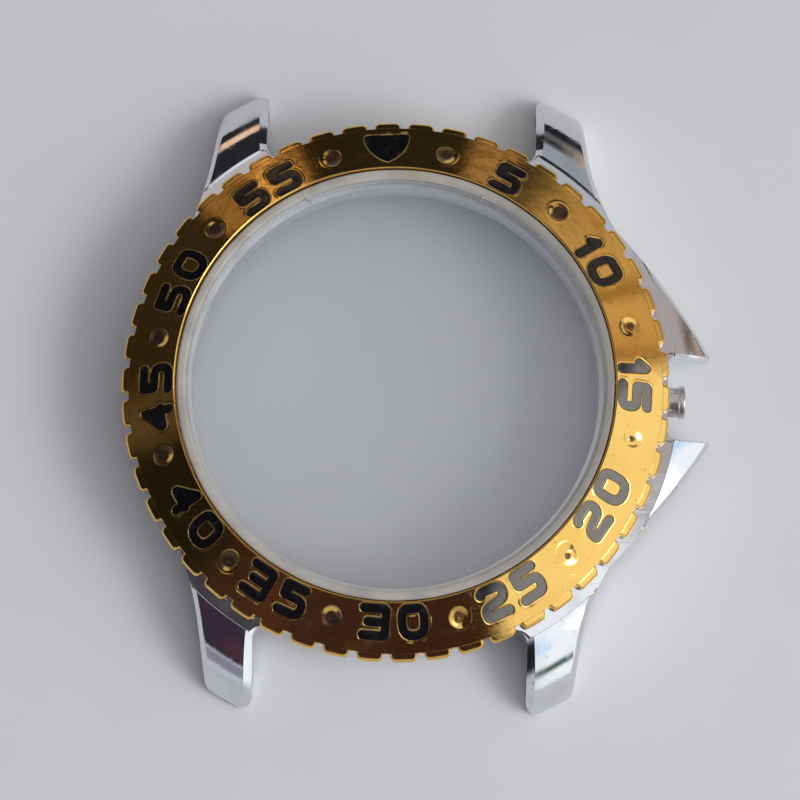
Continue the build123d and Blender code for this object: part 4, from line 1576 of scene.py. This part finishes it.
    def _dimple(
        self, x: np.ndarray, y: np.ndarray, angle: float, spot: float, seed: np.ndarray
    ) -> tuple[np.ndarray, np.ndarray]:
        """A bowl with a flat floor off its middle, a rim raised on one side and a bottom painted dark
        brown, shade with some grime.

        Args:
            x: plan coordinates in the bezel's own axes.
            y: plan coordinates in the bezel's own axes.
            angle: the dimple's place in degrees.
            spot: the painted dark bottom's share of the dimple's radius.
            seed: four numbers from -1 to 1 that make each dimple different.

        Returns:
            Heights to add in millimetres, and the bottom's painted shade with grime, from 0 to 1.
        """
        centre_x = self.dimple_ring * math.sin(math.radians(angle))
        centre_y = self.dimple_ring * math.cos(math.radians(angle))
        away_x, away_y = x - centre_x, y - centre_y
        distance = np.hypot(away_x, away_y)
        share = distance / self.dimple_radius
        bowl = -self.dimple_depth * (0.25 + 0.75 * spot) * (1 - smooth_step(share, 0.42, 1.04))
        pip_away = np.hypot(away_x - 0.2 * seed[0], away_y - 0.2 * seed[1])
        pip = self.pip_height * hill(pip_away, self.pip_radius)
        lengths = np.maximum(distance * math.hypot(*seed[2:]), 0.05)
        facing = (away_x * seed[2] + away_y * seed[3]) / lengths
        rim = self.dimple_rim * (0.5 + 0.5 * facing) * hill(share - 1.10, 0.13)
        # painted shade fills the bottom, and the walls where the bottom is large, but is left off in a
        # crescent on one side
        crescent = smooth_step(facing, 0.35, 0.85) * smooth_step(share, 0.50, 0.70)
        wall = 0.9 * smooth_step(np.array(spot), 0.35, 0.62) * (1 - smooth_step(share, 0.86, 1.02))
        floor_away = np.hypot(away_x + 0.10 * seed[2], away_y + 0.10 * seed[3]) / self.dimple_radius
        ragged = 0.03 * np.sin(3 * np.arctan2(away_y, away_x) + 3 * seed[0])
        dull_and_shade = 1 - smooth_step(floor_away + ragged, spot - 0.12, spot + 0.16)
        dull_and_shade = (0.85 + 0.15 * seed[1]) * dull_and_shade
        return bowl + pip * (share < 1) + rim, np.maximum(dull_and_shade, wall) * (1 - crescent)

    def sector(self, name: str, first: float, last: float) -> Piece:
        """Half of the sloping band: plain cone plus relief over a grid of angles and radii, closed
        by a hidden underside and by its end planes, with the painted shade and grime as a point attribute.

        Args:
            name: the piece's name.
            first: own angle where it starts, in degrees.
            last: own angle where it ends.

        Returns:
            The closed half.
        """
        turn = np.linspace(first, last, self.columns)
        radii = np.linspace(self.inner_radius, self.edge_radius, self.rows)
        grid_turn, grid_radius = np.meshgrid(turn, radii, indexing="ij")
        height, dirt_and_shade = self.relief(grid_turn, grid_radius)
        top = self.placed(grid_turn, grid_radius, self.cone(grid_radius) + height)
        ends = np.array([self.edge_radius, self.inner_radius])
        end_turn, end_radius = np.meshgrid(turn, ends, indexing="ij")
        under = self.placed(end_turn, end_radius, self.cone(end_radius) - self.body)
        loops = np.concatenate([top, under], axis=1)
        dirt_and_shade = np.concatenate([dirt_and_shade, np.zeros(end_turn.shape)], axis=1)
        caps = [np.repeat(loops[k : k + 1 or None, -1:], loops.shape[1], axis=1) for k in (0, -1)]
        loops = np.concatenate([caps[0], loops, caps[1]], axis=0)
        blank = np.zeros((1, dirt_and_shade.shape[1]))
        piece = grid_piece(name, loops, wrap_rows=False)
        mark_points(piece, DIRT_AND_SHADE, np.concatenate([blank, dirt_and_shade, blank]))
        return piece

    def tooth_edge(self) -> tuple[np.ndarray, np.ndarray]:
        """The toothed rim from above.

        Across a gap, at a distance s from its middle along the rim, the edge follows half of an
        ellipse down to the band's edge, then a round corner up to the bezel's radius.

        Returns:
            Own angles in degrees and the radius at each.
        """
        pitch = 360.0 / self.tooth_count
        middle = self.radius - self.tooth_corner
        gap = np.sin(np.linspace(-np.pi / 2, np.pi / 2, 19)) * self.gap_radius
        shares = np.array([0.04, 0.12, 0.25, 0.42, 0.62, 0.82, 1.0])
        corner = self.gap_radius + self.tooth_corner * shares
        flat = np.linspace(corner[-1], self.pitch_length() / 2, 4)[1:]
        offsets = np.concatenate([-flat[::-1], -corner[::-1], gap, corner, flat[:-1]])
        distance = np.abs(offsets)
        deep = (middle - self.edge_radius) / self.gap_radius
        bottom = middle - deep * np.sqrt(np.maximum(self.gap_radius**2 - distance**2, 0.0))
        reach = np.clip(self.gap_radius + self.tooth_corner - distance, 0.0, self.tooth_corner)
        rounded = middle + np.sqrt(self.tooth_corner**2 - reach**2)
        radius = np.where(distance <= self.gap_radius, np.minimum(bottom, middle), rounded)
        turn = np.degrees(offsets / self.radius)
        first = pitch / 2 + pitch * np.arange(self.tooth_count)
        turns = (first[:, None] + turn[None, :]).reshape(-1)
        return turns, np.tile(radius, self.tooth_count)

    def lobe(self, offset: np.ndarray, outer: np.ndarray) -> tuple[np.ndarray, np.ndarray]:
        """The top of one tooth.

        The height is the band's slope carried on outwards, less a quarter circle's drop over the
        distance to the tooth's outline, with a fine groove where it meets the band.

        Args:
            offset: places along the rim from the tooth's middle.
            outer: the outline's radius at each place.

        Returns:
            Radii and heights, one row per place.
        """
        shares = 1 - (1 - np.linspace(0.0, 1.0, self.lobe_rows)) ** 1.5
        radius = self.edge_radius + (outer - self.edge_radius)[:, None] * shares[None, :]
        place = np.broadcast_to(offset[:, None], radius.shape)
        gap = np.hypot(place[..., None] - offset, radius[..., None] - outer).min(-1)
        gap[:, -1] = 0.0
        room = np.clip(1 - gap / self.lobe_round, 0.0, 1.0)
        drop = self.lobe_round * (1 - np.sqrt(1 - np.minimum(room, 0.985) ** 2))
        drop[:, 0] = np.minimum(drop[:, 0], 0.05)
        groove = self.groove_depth * hill(radius - self.edge_radius - 0.02, 0.05)
        return radius, self.cone(radius) - drop - groove

    def inner_corners(self) -> list[Pair]:
        """The corners of the bezel's section from the recess over the click spring to the hidden
        face under the band, as radii and heights.

        Returns:
            The corners in order.
        """
        groove_base, groove_roof = self.wire_groove
        bevel_base = self.top - self.bore_bevel
        return [
            (self.recess_radius, self.base),
            (self.recess_radius, self.roof),
            (self.bore_radius, self.roof),
            (self.bore_radius, groove_base),
            (self.wire_seat, groove_base),
            (self.wire_seat, groove_roof),
            (self.bore_radius, groove_roof),
            (self.bore_radius, 6.6),
            (self.bore_radius, bevel_base - 0.03),
            (self.bore_radius + 0.01, bevel_base + 0.02),
            (self.inner_radius - 0.05, self.top - 0.035),
            (self.inner_radius - 0.015, self.top - 0.005),
            (self.inner_radius, self.top),
            (self.inner_radius + 0.02, self.top - 0.30),
            (self.edge_radius - 0.02, self.edge_height - 0.30),
        ]

    def teeth(self) -> Piece:
        """The toothed rim, underside, bore and inner edge, carried round the axis.

        At each angle the section runs from the band's edge over the tooth, down its side, under
        the rim, up the recess, in below the roof, up the bore and over the inner bevel. In a gap
        the tooth's top shrinks to nothing.

        Returns:
            The rim as a closed mesh object.
        """
        turns, outer = self.tooth_edge()
        pitch = len(turns) // self.tooth_count
        offset = np.radians(turns[:pitch] - 360.0 / self.tooth_count / 2) * self.radius
        extended = np.concatenate([offset - self.pitch_length(), offset, offset + self.pitch_length()])
        radius, height = self.lobe(extended, np.tile(outer[:pitch], 3))
        one_radius, one_height = radius[pitch : 2 * pitch], height[pitch : 2 * pitch]
        top_radius = np.tile(one_radius, (self.tooth_count, 1))
        top_height = np.tile(one_height, (self.tooth_count, 1))
        low = top_height[:, -1:]
        share = np.linspace(0, 1, 6)[None, 1:]
        side = low * (1 - share) + (self.base + self.rim_round) * share
        side_radius = np.repeat(outer[:, None], side.shape[1], axis=1)
        corners = self.inner_corners()
        tail_radius = [outer - self.rim_round, *(np.full(len(outer), r) for r, _ in corners)]
        tail_height = [np.full(len(outer), z) for z in (self.base, *(z for _, z in corners))]
        radius = np.concatenate([top_radius, side_radius, np.stack(tail_radius, axis=1)], axis=1)
        height = np.concatenate([top_height, side, np.stack(tail_height, axis=1)], axis=1)
        grid_turn = np.repeat(turns[:, None], radius.shape[1], axis=1)
        piece = grid_piece("bezel_teeth", self.placed(grid_turn, radius, height))
        # painted shade in the crease where the band meets the teeth, stored in the shade and grime
        # attribute
        near = hill(radius - self.edge_radius, 0.06) * (height > self.roof + 0.2)
        mark_points(piece, DIRT_AND_SHADE, 0.55 * near)
        return piece

    def pitch_length(self) -> float:
        """The length of rim that a tooth and its gap take."""
        return 2 * math.pi * self.radius / self.tooth_count

    def enamel(self, name: str, angle: float) -> Piece:
        """The enamel of one marking.

        Over each digit's box a grid of radii and angles carries the enamel's level: nearly flat, a
        little lower in the middle of the stroke, and diving under the metal outside.

        Args:
            name: the marking's name.
            angle: the marking's own angle in degrees.

        Returns:
            The enamel of the whole marking as one mesh object.
        """
        marking = Marking(name, angle)
        patches = []
        for digit, place in marking.digits():
            wide, far = self.triangle_patch if digit == TRIANGLE else self.digit_patch
            turn = place + np.linspace(-wide, wide, self.patch_grid[0])
            radii = np.linspace(self.inner_radius + 0.01, far, self.patch_grid[1])
            grid_turn, grid_radius = np.meshgrid(turn, radii, indexing="ij")
            x, y = plan_of(grid_turn, grid_radius)
            distance = marking.distance(digit, place, x, y)
            hollow = (self.enamel_level - self.enamel_edge) * smooth_step(-distance, -0.02, 0.17)
            ripple = self.enamel_ripple * np.sin(4.1 * x + 2.0) * np.sin(3.7 * y)
            level = -self.enamel_edge - hollow + ripple
            dive = np.clip(distance + self.dive_start, 0.0, self.dive_reach) * self.dive_slope
            top = self.placed(grid_turn, grid_radius, self.cone(grid_radius) + level - dive)
            under = self.placed(grid_turn, grid_radius, self.cone(grid_radius) - self.enamel_body)
            patches.append(np.stack([top, under]))
        return slab_piece(f"enamel_{name}", patches)

    def build(self, gilt: Material, enamel: Material) -> None:
        """Make and dress the band, the teeth and the enamel.

        Args:
            gilt: the metal's finish.
            enamel: the markings' finish.
        """
        first, second = self.seams
        pieces = [self.sector("bezel_band_right", first, second)]
        pieces.append(self.sector("bezel_band_left", second, first + 360.0))
        pieces.append(self.teeth())
        for piece in pieces:
            tidy_mesh(piece, 40.0)
            dress(piece, gilt, "gilt_bezel", "bezel", "bezel")
        for name, angle in self.markings.items():
            piece = self.enamel(name, angle)
            dress(piece, enamel, "black_enamel", "bezel", f"enamel_{name}")
            piece.name = f"enamel_fill_{name}"


def slab_piece(name: str, patches: list[np.ndarray]) -> Piece:
    """Close patches, each an upper and a lower grid of points, into slabs of one mesh object.

    A slab's section runs along each column over the top grid and back along the lower one, and
    the first and last columns are drawn together on their lower points.

    Args:
        name: the object's name.
        patches: arrays of two by columns by rows by three.

    Returns:
        The slabs as one object.
    """
    pieces = []
    for patch in patches:
        loops = np.concatenate([patch[0], patch[1][:, ::-1]], axis=1)
        first = np.repeat(loops[:1, -1:], loops.shape[1], axis=1)
        last = np.repeat(loops[-1:, -1:], loops.shape[1], axis=1)
        loops = np.concatenate([first, loops, last], axis=0)
        piece = grid_piece(name, loops, wrap_rows=False)
        tidy_mesh(piece, 60.0)
        pieces.append(piece)
    if len(pieces) > 1:
        with bpy.context.temp_override(active_object=pieces[0], selected_editable_objects=pieces):
            bpy.ops.object.join()
    return pieces[0]


@dataclass
class Glazing:
    """The glass and the white gasket round it."""

    radius: float = 15.15
    top: float = 7.70
    base: float = 6.13
    bevel: float = 0.15
    flat_shares: tuple[float, ...] = (0.97, 0.85, 0.6, 0.3)
    gasket_outer: float = 15.89
    gasket_top: float = 7.64
    gasket_base: float = 6.11
    gasket_wall: float = 0.41
    flange: Pair = (7.32, 7.53)
    waves: tuple[tuple[float, int, float], ...] = ((0.010, 5, 0.6), (0.007, 13, 2.0))
    upper_rise: Pair = (7.35, 7.5)
    edge_wave: tuple[float, int] = (0.004, 31)
    slivers: tuple[Triple, ...] = ((-26.8, 1.0, 0.35), (23.6, 0.9, -0.3))
    sliver_width: float = 0.09

    def crystal(self) -> Piece:
        """The glass: flat faces, a bevelled upper edge, turned round the axis.

        Returns:
            The glass as a closed mesh object.
        """
        flat = self.radius - self.bevel
        corner = self.top - self.bevel
        profile = [(0.0, self.top)]
        profile += [(share * flat, self.top) for share in reversed(self.flat_shares)]
        profile += [(flat, self.top), (self.radius - 0.02, corner + 0.02), (self.radius, corner - 0.02)]
        profile += [(self.radius, 6.9), (self.radius, self.base)]
        profile += [(share * self.radius, self.base) for share in self.flat_shares]
        profile += [(0.0, self.base)]
        return lathe("crystal_glass", np.array(profile), 512)

    def gasket(self) -> Piece:
        """The gasket: a low rounded flange over the neck and a thin wall down beside the glass,
        with slight waves in its level and in its inner edge.

        Returns:
            The gasket as a closed mesh object.
        """
        inner = self.radius + 0.01
        wall = self.radius + self.gasket_wall
        flange_base, flange_edge = self.flange
        corners = [
            (inner, self.gasket_base),
            (wall, self.gasket_base),
            (wall, flange_base),
            (self.gasket_outer, flange_base),
            (self.gasket_outer, flange_edge),
            (self.gasket_outer - 0.12, self.gasket_top - 0.01),
            (inner + 0.22, self.gasket_top),
            (inner + 0.10, self.gasket_top - 0.06),
            (inner, self.gasket_top - 0.07),
        ]
        profile = rounded_profile(corners, 0.05, 3)
        turn = full_turn(720)[:, None]
        wave = sum(size * np.sin(count * turn + phase) for size, count, phase in self.waves)
        upper = smooth_step(profile[:, 1], *self.upper_rise)[None, :]
        size, count = self.edge_wave
        radius = profile[:, 0][None, :] + size * np.sin(count * turn) * upper
        height = profile[:, 1][None, :] + (wave - 0.02) * upper
        points = np.stack([radius * np.cos(turn), radius * np.sin(turn), height + 0 * radius], axis=-1)
        return grid_piece("gasket_ring", points)

    def burr(self, name: str, angle: float, length: float, lean: float) -> Piece:
        """A sliver of gasket that sticks in over the glass.

        Its section is a small ring whose size falls from the root to the tip as 1 - t, carried
        along a line that leans sideways.

        Args:
            name: the object's name.
            angle: its place, in degrees clockwise from twelve.
            length: how far it reaches, in millimetres.
            lean: how far its tip stands to the side.

        Returns:
            The sliver as a closed mesh object.
        """
        share = np.linspace(0.0, 1.0, 9)[:, None]
        round_turn = full_turn(10)[None, :]
        width = self.sliver_width * (1.02 - share)
        reach = self.radius + 0.10 - length * share
        turn = math.radians(angle)
        side = lean * share**1.5 + width * np.cos(round_turn)
        x = reach * math.sin(turn) + side * math.cos(turn)
        y = reach * math.cos(turn) - side * math.sin(turn)
        z = self.gasket_top - 0.02 + 0.5 * width * np.sin(round_turn) + 0 * x
        points = np.stack([x, y, z], axis=-1)
        ends = [np.repeat(points[k : k + 1].mean(1, keepdims=True), 10, axis=1) for k in (0, -1)]
        return grid_piece(name, np.concatenate([ends[0], points, ends[1]]), wrap_rows=False)

    def build(self, glass: Material, plastic: Material) -> None:
        """Make and dress the glass, the gasket and its two slivers.

        Args:
            glass: the glass's material.
            plastic: the gasket's material.
        """
        crystal = self.crystal()
        tidy_mesh(crystal, 30.0)
        dress(crystal, glass, "crystal", "case", "crystal")
        ring = self.gasket()
        tidy_mesh(ring, 45.0)
        dress(ring, plastic, "gasket", "case", "crystal_gasket")
        for number, (angle, length, lean) in enumerate(self.slivers, 1):
            sliver = self.burr(f"gasket_sliver_{number}", angle, length, lean)
            tidy_mesh(sliver, 45.0)
            dress(sliver, plastic, "gasket", "case")


@dataclass
class CrownTube:
    """The steel tube between the guards, with its lip and bore."""

    height: float = 2.15
    body_radius: float = 1.02
    neck_radius: float = 1.10
    lip_radius: float = 1.22
    bore_radius: float = 0.78
    inner_x: float = 15.70
    neck_x: float = 19.95
    lip_x: float = 20.88
    end_x: float = 21.30
    segments: int = 128

    def build(self, steel: Material) -> None:
        """Turn the tube's closed profile of length and radius round its own axis and dress it.

        Args:
            steel: the tube's finish.
        """
        corners = [
            (self.inner_x, self.bore_radius),
            (self.inner_x, self.body_radius),
            (self.neck_x, self.body_radius),
            (self.neck_x, self.neck_radius),
            (self.lip_x, self.neck_radius),
            (self.lip_x, self.lip_radius),
            (self.end_x, self.lip_radius),
            (self.end_x, self.bore_radius),
        ]
        profile = rounded_profile(corners, 0.08, 4)
        turn = full_turn(self.segments)[:, None]
        radius = profile[:, 1][None, :]
        x = np.broadcast_to(profile[:, 0][None, :], (self.segments, len(profile)))
        y = radius * np.cos(turn)
        z = self.height + radius * np.sin(turn)
        tube = grid_piece("tube_turned", np.stack([x, y, z], axis=-1))
        tidy_mesh(tube, 50.0)
        dress(tube, steel, "tube_steel", "case", "crown_tube")


@dataclass
class HiddenParts:
    """The pieces under the bezel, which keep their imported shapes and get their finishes."""

    steel_nodes: tuple[str, ...] = ("click_spring", "retaining_wire")
    rubber_nodes: tuple[str, ...] = ("bezel_seal",)

    def dress(self, nodes: dict[str, Piece], steel: Material, rubber: Material) -> None:
        """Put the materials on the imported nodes.

        Args:
            nodes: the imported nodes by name.
            steel: the springs' finish.
            rubber: the seal's finish.
        """
        for names, material in ((self.steel_nodes, steel), (self.rubber_nodes, rubber)):
            for name in names:
                mesh = nodes[name].data
                mesh.materials.clear()
                mesh.materials.append(material)
                LOG.info("%s dressed", name)


@dataclass(frozen=True)
class SkyPatch:
    """A soft-edged bright or dark part of the room.

    Azimuth runs clockwise from twelve o'clock; heights are degrees above the horizon.
    """

    azimuth: float
    width: float
    low: float
    high: float
    colour: Colour
    soft: float = 3.0


@dataclass
class Studio:
    """The floor, the room's light and the camera."""

    camera_distance: float = 304.1
    focal_pixels: float = 4093.0
    frame_pixels: float = 800.0
    tilt: float = 0.1812
    roll: float = 0.0229
    lean: float = -0.0012
    axis_offset: Pair = (4.34, 1.61)
    sensor: float = 36.0
    floor_height: float = -0.60
    floor_half: float = 900.0
    lamp_size: Pair = (0.26, 0.20)
    lamp_energy: float = 0.95
    lamp_colour: Colour = (1.0, 0.985, 0.96)
    lamp_direction: float = 112.0
    lamp_height: float = 42.0
    lamp_distance: float = 0.55
    room: Colour = (0.54, 0.56, 0.60)
    patches: tuple[SkyPatch, ...] = (
        SkyPatch(0.0, 150.0, -4.0, 28.0, (0.020, 0.020, 0.024)),
        SkyPatch(22.0, 40.0, 26.0, 66.0, (0.32, 0.36, 0.40), 5.0),
        SkyPatch(338.0, 40.0, 40.0, 70.0, (0.54, 0.48, 0.46), 5.0),
        SkyPatch(314.0, 64.0, -4.0, 45.0, (0.020, 0.020, 0.024), 4.0),
        SkyPatch(276.0, 84.0, 5.0, 36.0, (0.030, 0.026, 0.028), 6.0),
        SkyPatch(244.0, 150.0, 72.0, 95.0, (0.060, 0.050, 0.060), 4.0),
        SkyPatch(196.0, 88.0, 22.5, 74.0, (0.042, 0.026, 0.044), 2.0),
        SkyPatch(205.0, 40.0, 9.0, 20.5, (0.27, 0.25, 0.32), 2.0),
        SkyPatch(251.0, 36.0, 8.0, 44.0, (0.014, 0.014, 0.016), 5.0),
        SkyPatch(214.0, 11.0, 27.0, 48.0, (0.080, 0.034, 0.045), 4.0),
        SkyPatch(272.0, 12.0, 12.0, 34.0, (0.085, 0.075, 0.075), 4.0),
        SkyPatch(326.0, 13.0, 10.6, 18.0, (0.34, 0.22, 0.15), 1.8),
        SkyPatch(335.0, 11.0, 10.2, 18.0, (0.95, 0.64, 0.43), 1.5),
        SkyPatch(17.5, 9.0, 9.5, 18.5, (0.50, 0.37, 0.32), 2.0),
        SkyPatch(24.5, 8.0, 11.0, 18.5, (0.13, 0.115, 0.12), 2.5),
        SkyPatch(51.0, 44.0, 11.0, 27.0, (0.62, 0.50, 0.40), 4.0),
        SkyPatch(55.5, 3.5, 11.0, 27.0, (0.34, 0.23, 0.15), 1.2),
        SkyPatch(71.0, 5.0, 11.5, 27.0, (0.36, 0.27, 0.20), 2.5),
        SkyPatch(54.0, 42.0, 32.0, 78.0, (0.46, 0.39, 0.37), 5.0),
        SkyPatch(66.0, 9.0, 26.0, 37.0, (0.20, 0.14, 0.11), 4.0),
        SkyPatch(111.0, 76.0, 3.0, 84.0, (1.06, 1.09, 1.12)),
        SkyPatch(150.0, 22.0, 42.0, 84.0, (1.00, 1.04, 1.08)),
        SkyPatch(86.0, 112.0, 80.0, 95.0, (0.98, 1.00, 1.04)),
        SkyPatch(120.0, 6.0, 30.0, 72.0, (0.60, 0.84, 1.14), 2.5),
        SkyPatch(99.0, 4.0, 30.0, 72.0, (0.64, 0.86, 1.12), 2.0),
        SkyPatch(84.0, 3.0, 28.0, 60.0, (0.56, 0.80, 1.12), 1.5),
        SkyPatch(143.0, 4.5, 40.0, 66.0, (0.60, 0.82, 1.12), 2.5),
        SkyPatch(151.0, 26.0, 17.0, 24.0, (0.08, 0.14, 0.10)),
    )

    def orient(self) -> Matrix:
        """The camera's turn: a tilt from six o'clock, a slight lean and a slight roll.

        Returns:
            The turn from the camera's axes to the part's.
        """
        ct, st = math.cos(self.tilt), math.sin(self.tilt)
        cl, sl = math.cos(self.lean), math.sin(self.lean)
        cr, sr = math.cos(self.roll), math.sin(self.roll)
        tilt = Matrix(((1, 0, 0), (0, ct, st), (0, -st, ct)))
        lean = Matrix(((cl, 0, sl), (0, 1, 0), (-sl, 0, cl)))
        roll = Matrix(((cr, sr, 0), (-sr, cr, 0), (0, 0, 1)))
        return (tilt @ lean @ roll).transposed()

    def camera(self) -> None:
        """The camera at the photograph's place, with the photograph's angle of view."""
        lens = bpy.data.cameras.new("camera")
        lens.sensor_width = self.sensor
        lens.lens = self.sensor * self.focal_pixels / self.frame_pixels
        lens.shift_x = self.axis_offset[0] / self.frame_pixels
        lens.shift_y = self.axis_offset[1] / self.frame_pixels
        lens.clip_start = 0.01
        turned = self.orient()
        eye = bpy.data.objects.new("camera", lens)
        place = turned @ Matrix.Translation((0, 0, self.camera_distance * MM)).translation
        eye.matrix_world = Matrix.Translation(place) @ turned.to_4x4()
        bpy.context.scene.collection.objects.link(eye)
        bpy.context.scene.camera = eye

    def floor(self) -> None:
        """A wide, pale, faintly mottled sheet of paper under the case."""
        line = np.linspace(-self.floor_half, self.floor_half, 3)
        x, y = np.meshgrid(line, line, indexing="ij")
        points = np.stack([x, y, np.full(x.shape, self.floor_height)], axis=-1)
        sheet = grid_piece("floor", points, wrap_rows=False, wrap_columns=False)
        sheet.data.materials.append(PalePaper().build())
        for face in sheet.data.polygons:
            if face.normal.z < 0:
                face.flip()

    def world(self) -> None:
        """The room: an even level of light with soft patches by direction."""
        world = bpy.data.worlds.new("room")
        bpy.context.scene.world = world
        world.use_nodes = True
        book = NodeBook(world.node_tree)
        direction = book.add("ShaderNodeTexCoord", output="Generated")
        x, y, z = book.parts(direction)
        azimuth = x.angle_to(y) * (180 / math.pi)
        level = (x * x + y * y) ** 0.5
        elevation = z.angle_to(level) * (180 / math.pi)
        colour: object = self.room
        for patch in self.patches:
            away = ((azimuth - patch.azimuth) + 540.0).modulo(360.0) - 180.0
            edge = away.size().step(patch.width / 2 + patch.soft, patch.width / 2 - patch.soft)
            band = elevation.between(patch.low, patch.high, patch.soft)
            colour = book.blend(edge * band, colour, patch.colour)
        back = book.add("ShaderNodeBackground", {}, {"Color": colour, "Strength": 1.0})
        book.add("ShaderNodeOutputWorld", {}, {"Surface": back})

    def lamp(self) -> None:
        """A soft window light from the lower right that gives the shadow on the left."""
        light = bpy.data.lights.new("window", "AREA")
        light.shape = "RECTANGLE"
        light.size, light.size_y = self.lamp_size
        light.energy = self.lamp_energy
        light.color = self.lamp_colour
        lamp = bpy.data.objects.new("window", light)
        azimuth, height = math.radians(self.lamp_direction), math.radians(self.lamp_height)
        level = self.lamp_distance * math.cos(height)
        place = (
            level * math.sin(azimuth),
            level * math.cos(azimuth),
            self.lamp_distance * math.sin(height),
        )
        lamp.location = place
        aim = -Matrix.Translation(place).translation
        lamp.rotation_euler = aim.to_track_quat("-Z", "Y").to_euler()
        bpy.context.scene.collection.objects.link(lamp)

    def build(self) -> None:
        """Set up floor, room, lamp, camera and the plain view transform."""
        self.floor()
        self.world()
        self.lamp()
        self.camera()
        bpy.context.scene.view_settings.view_transform = "Standard"


def main() -> None:
    """Build every sub-assembly in order."""
    logging.basicConfig(level=logging.INFO, format="%(name)s %(message)s")
    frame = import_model()
    CaseMiddle().build(BrightPlating().build())
    TurningBezel().build(Gilt().build(), BlackEnamel().build())
    Glazing().build(ClearGlass().build(), AgedPlastic().build())
    CrownTube().build(DullSteel().build())
    spring = DullSteel("spring_steel", colour=(0.62, 0.63, 0.64), tarnish=(0.42, 0.38, 0.34), roughness=0.2)
    HiddenParts().dress(frame["nodes"], spring.build(), BlackRubber().build())
    Studio().build()


if __name__ == "__main__":
    main()
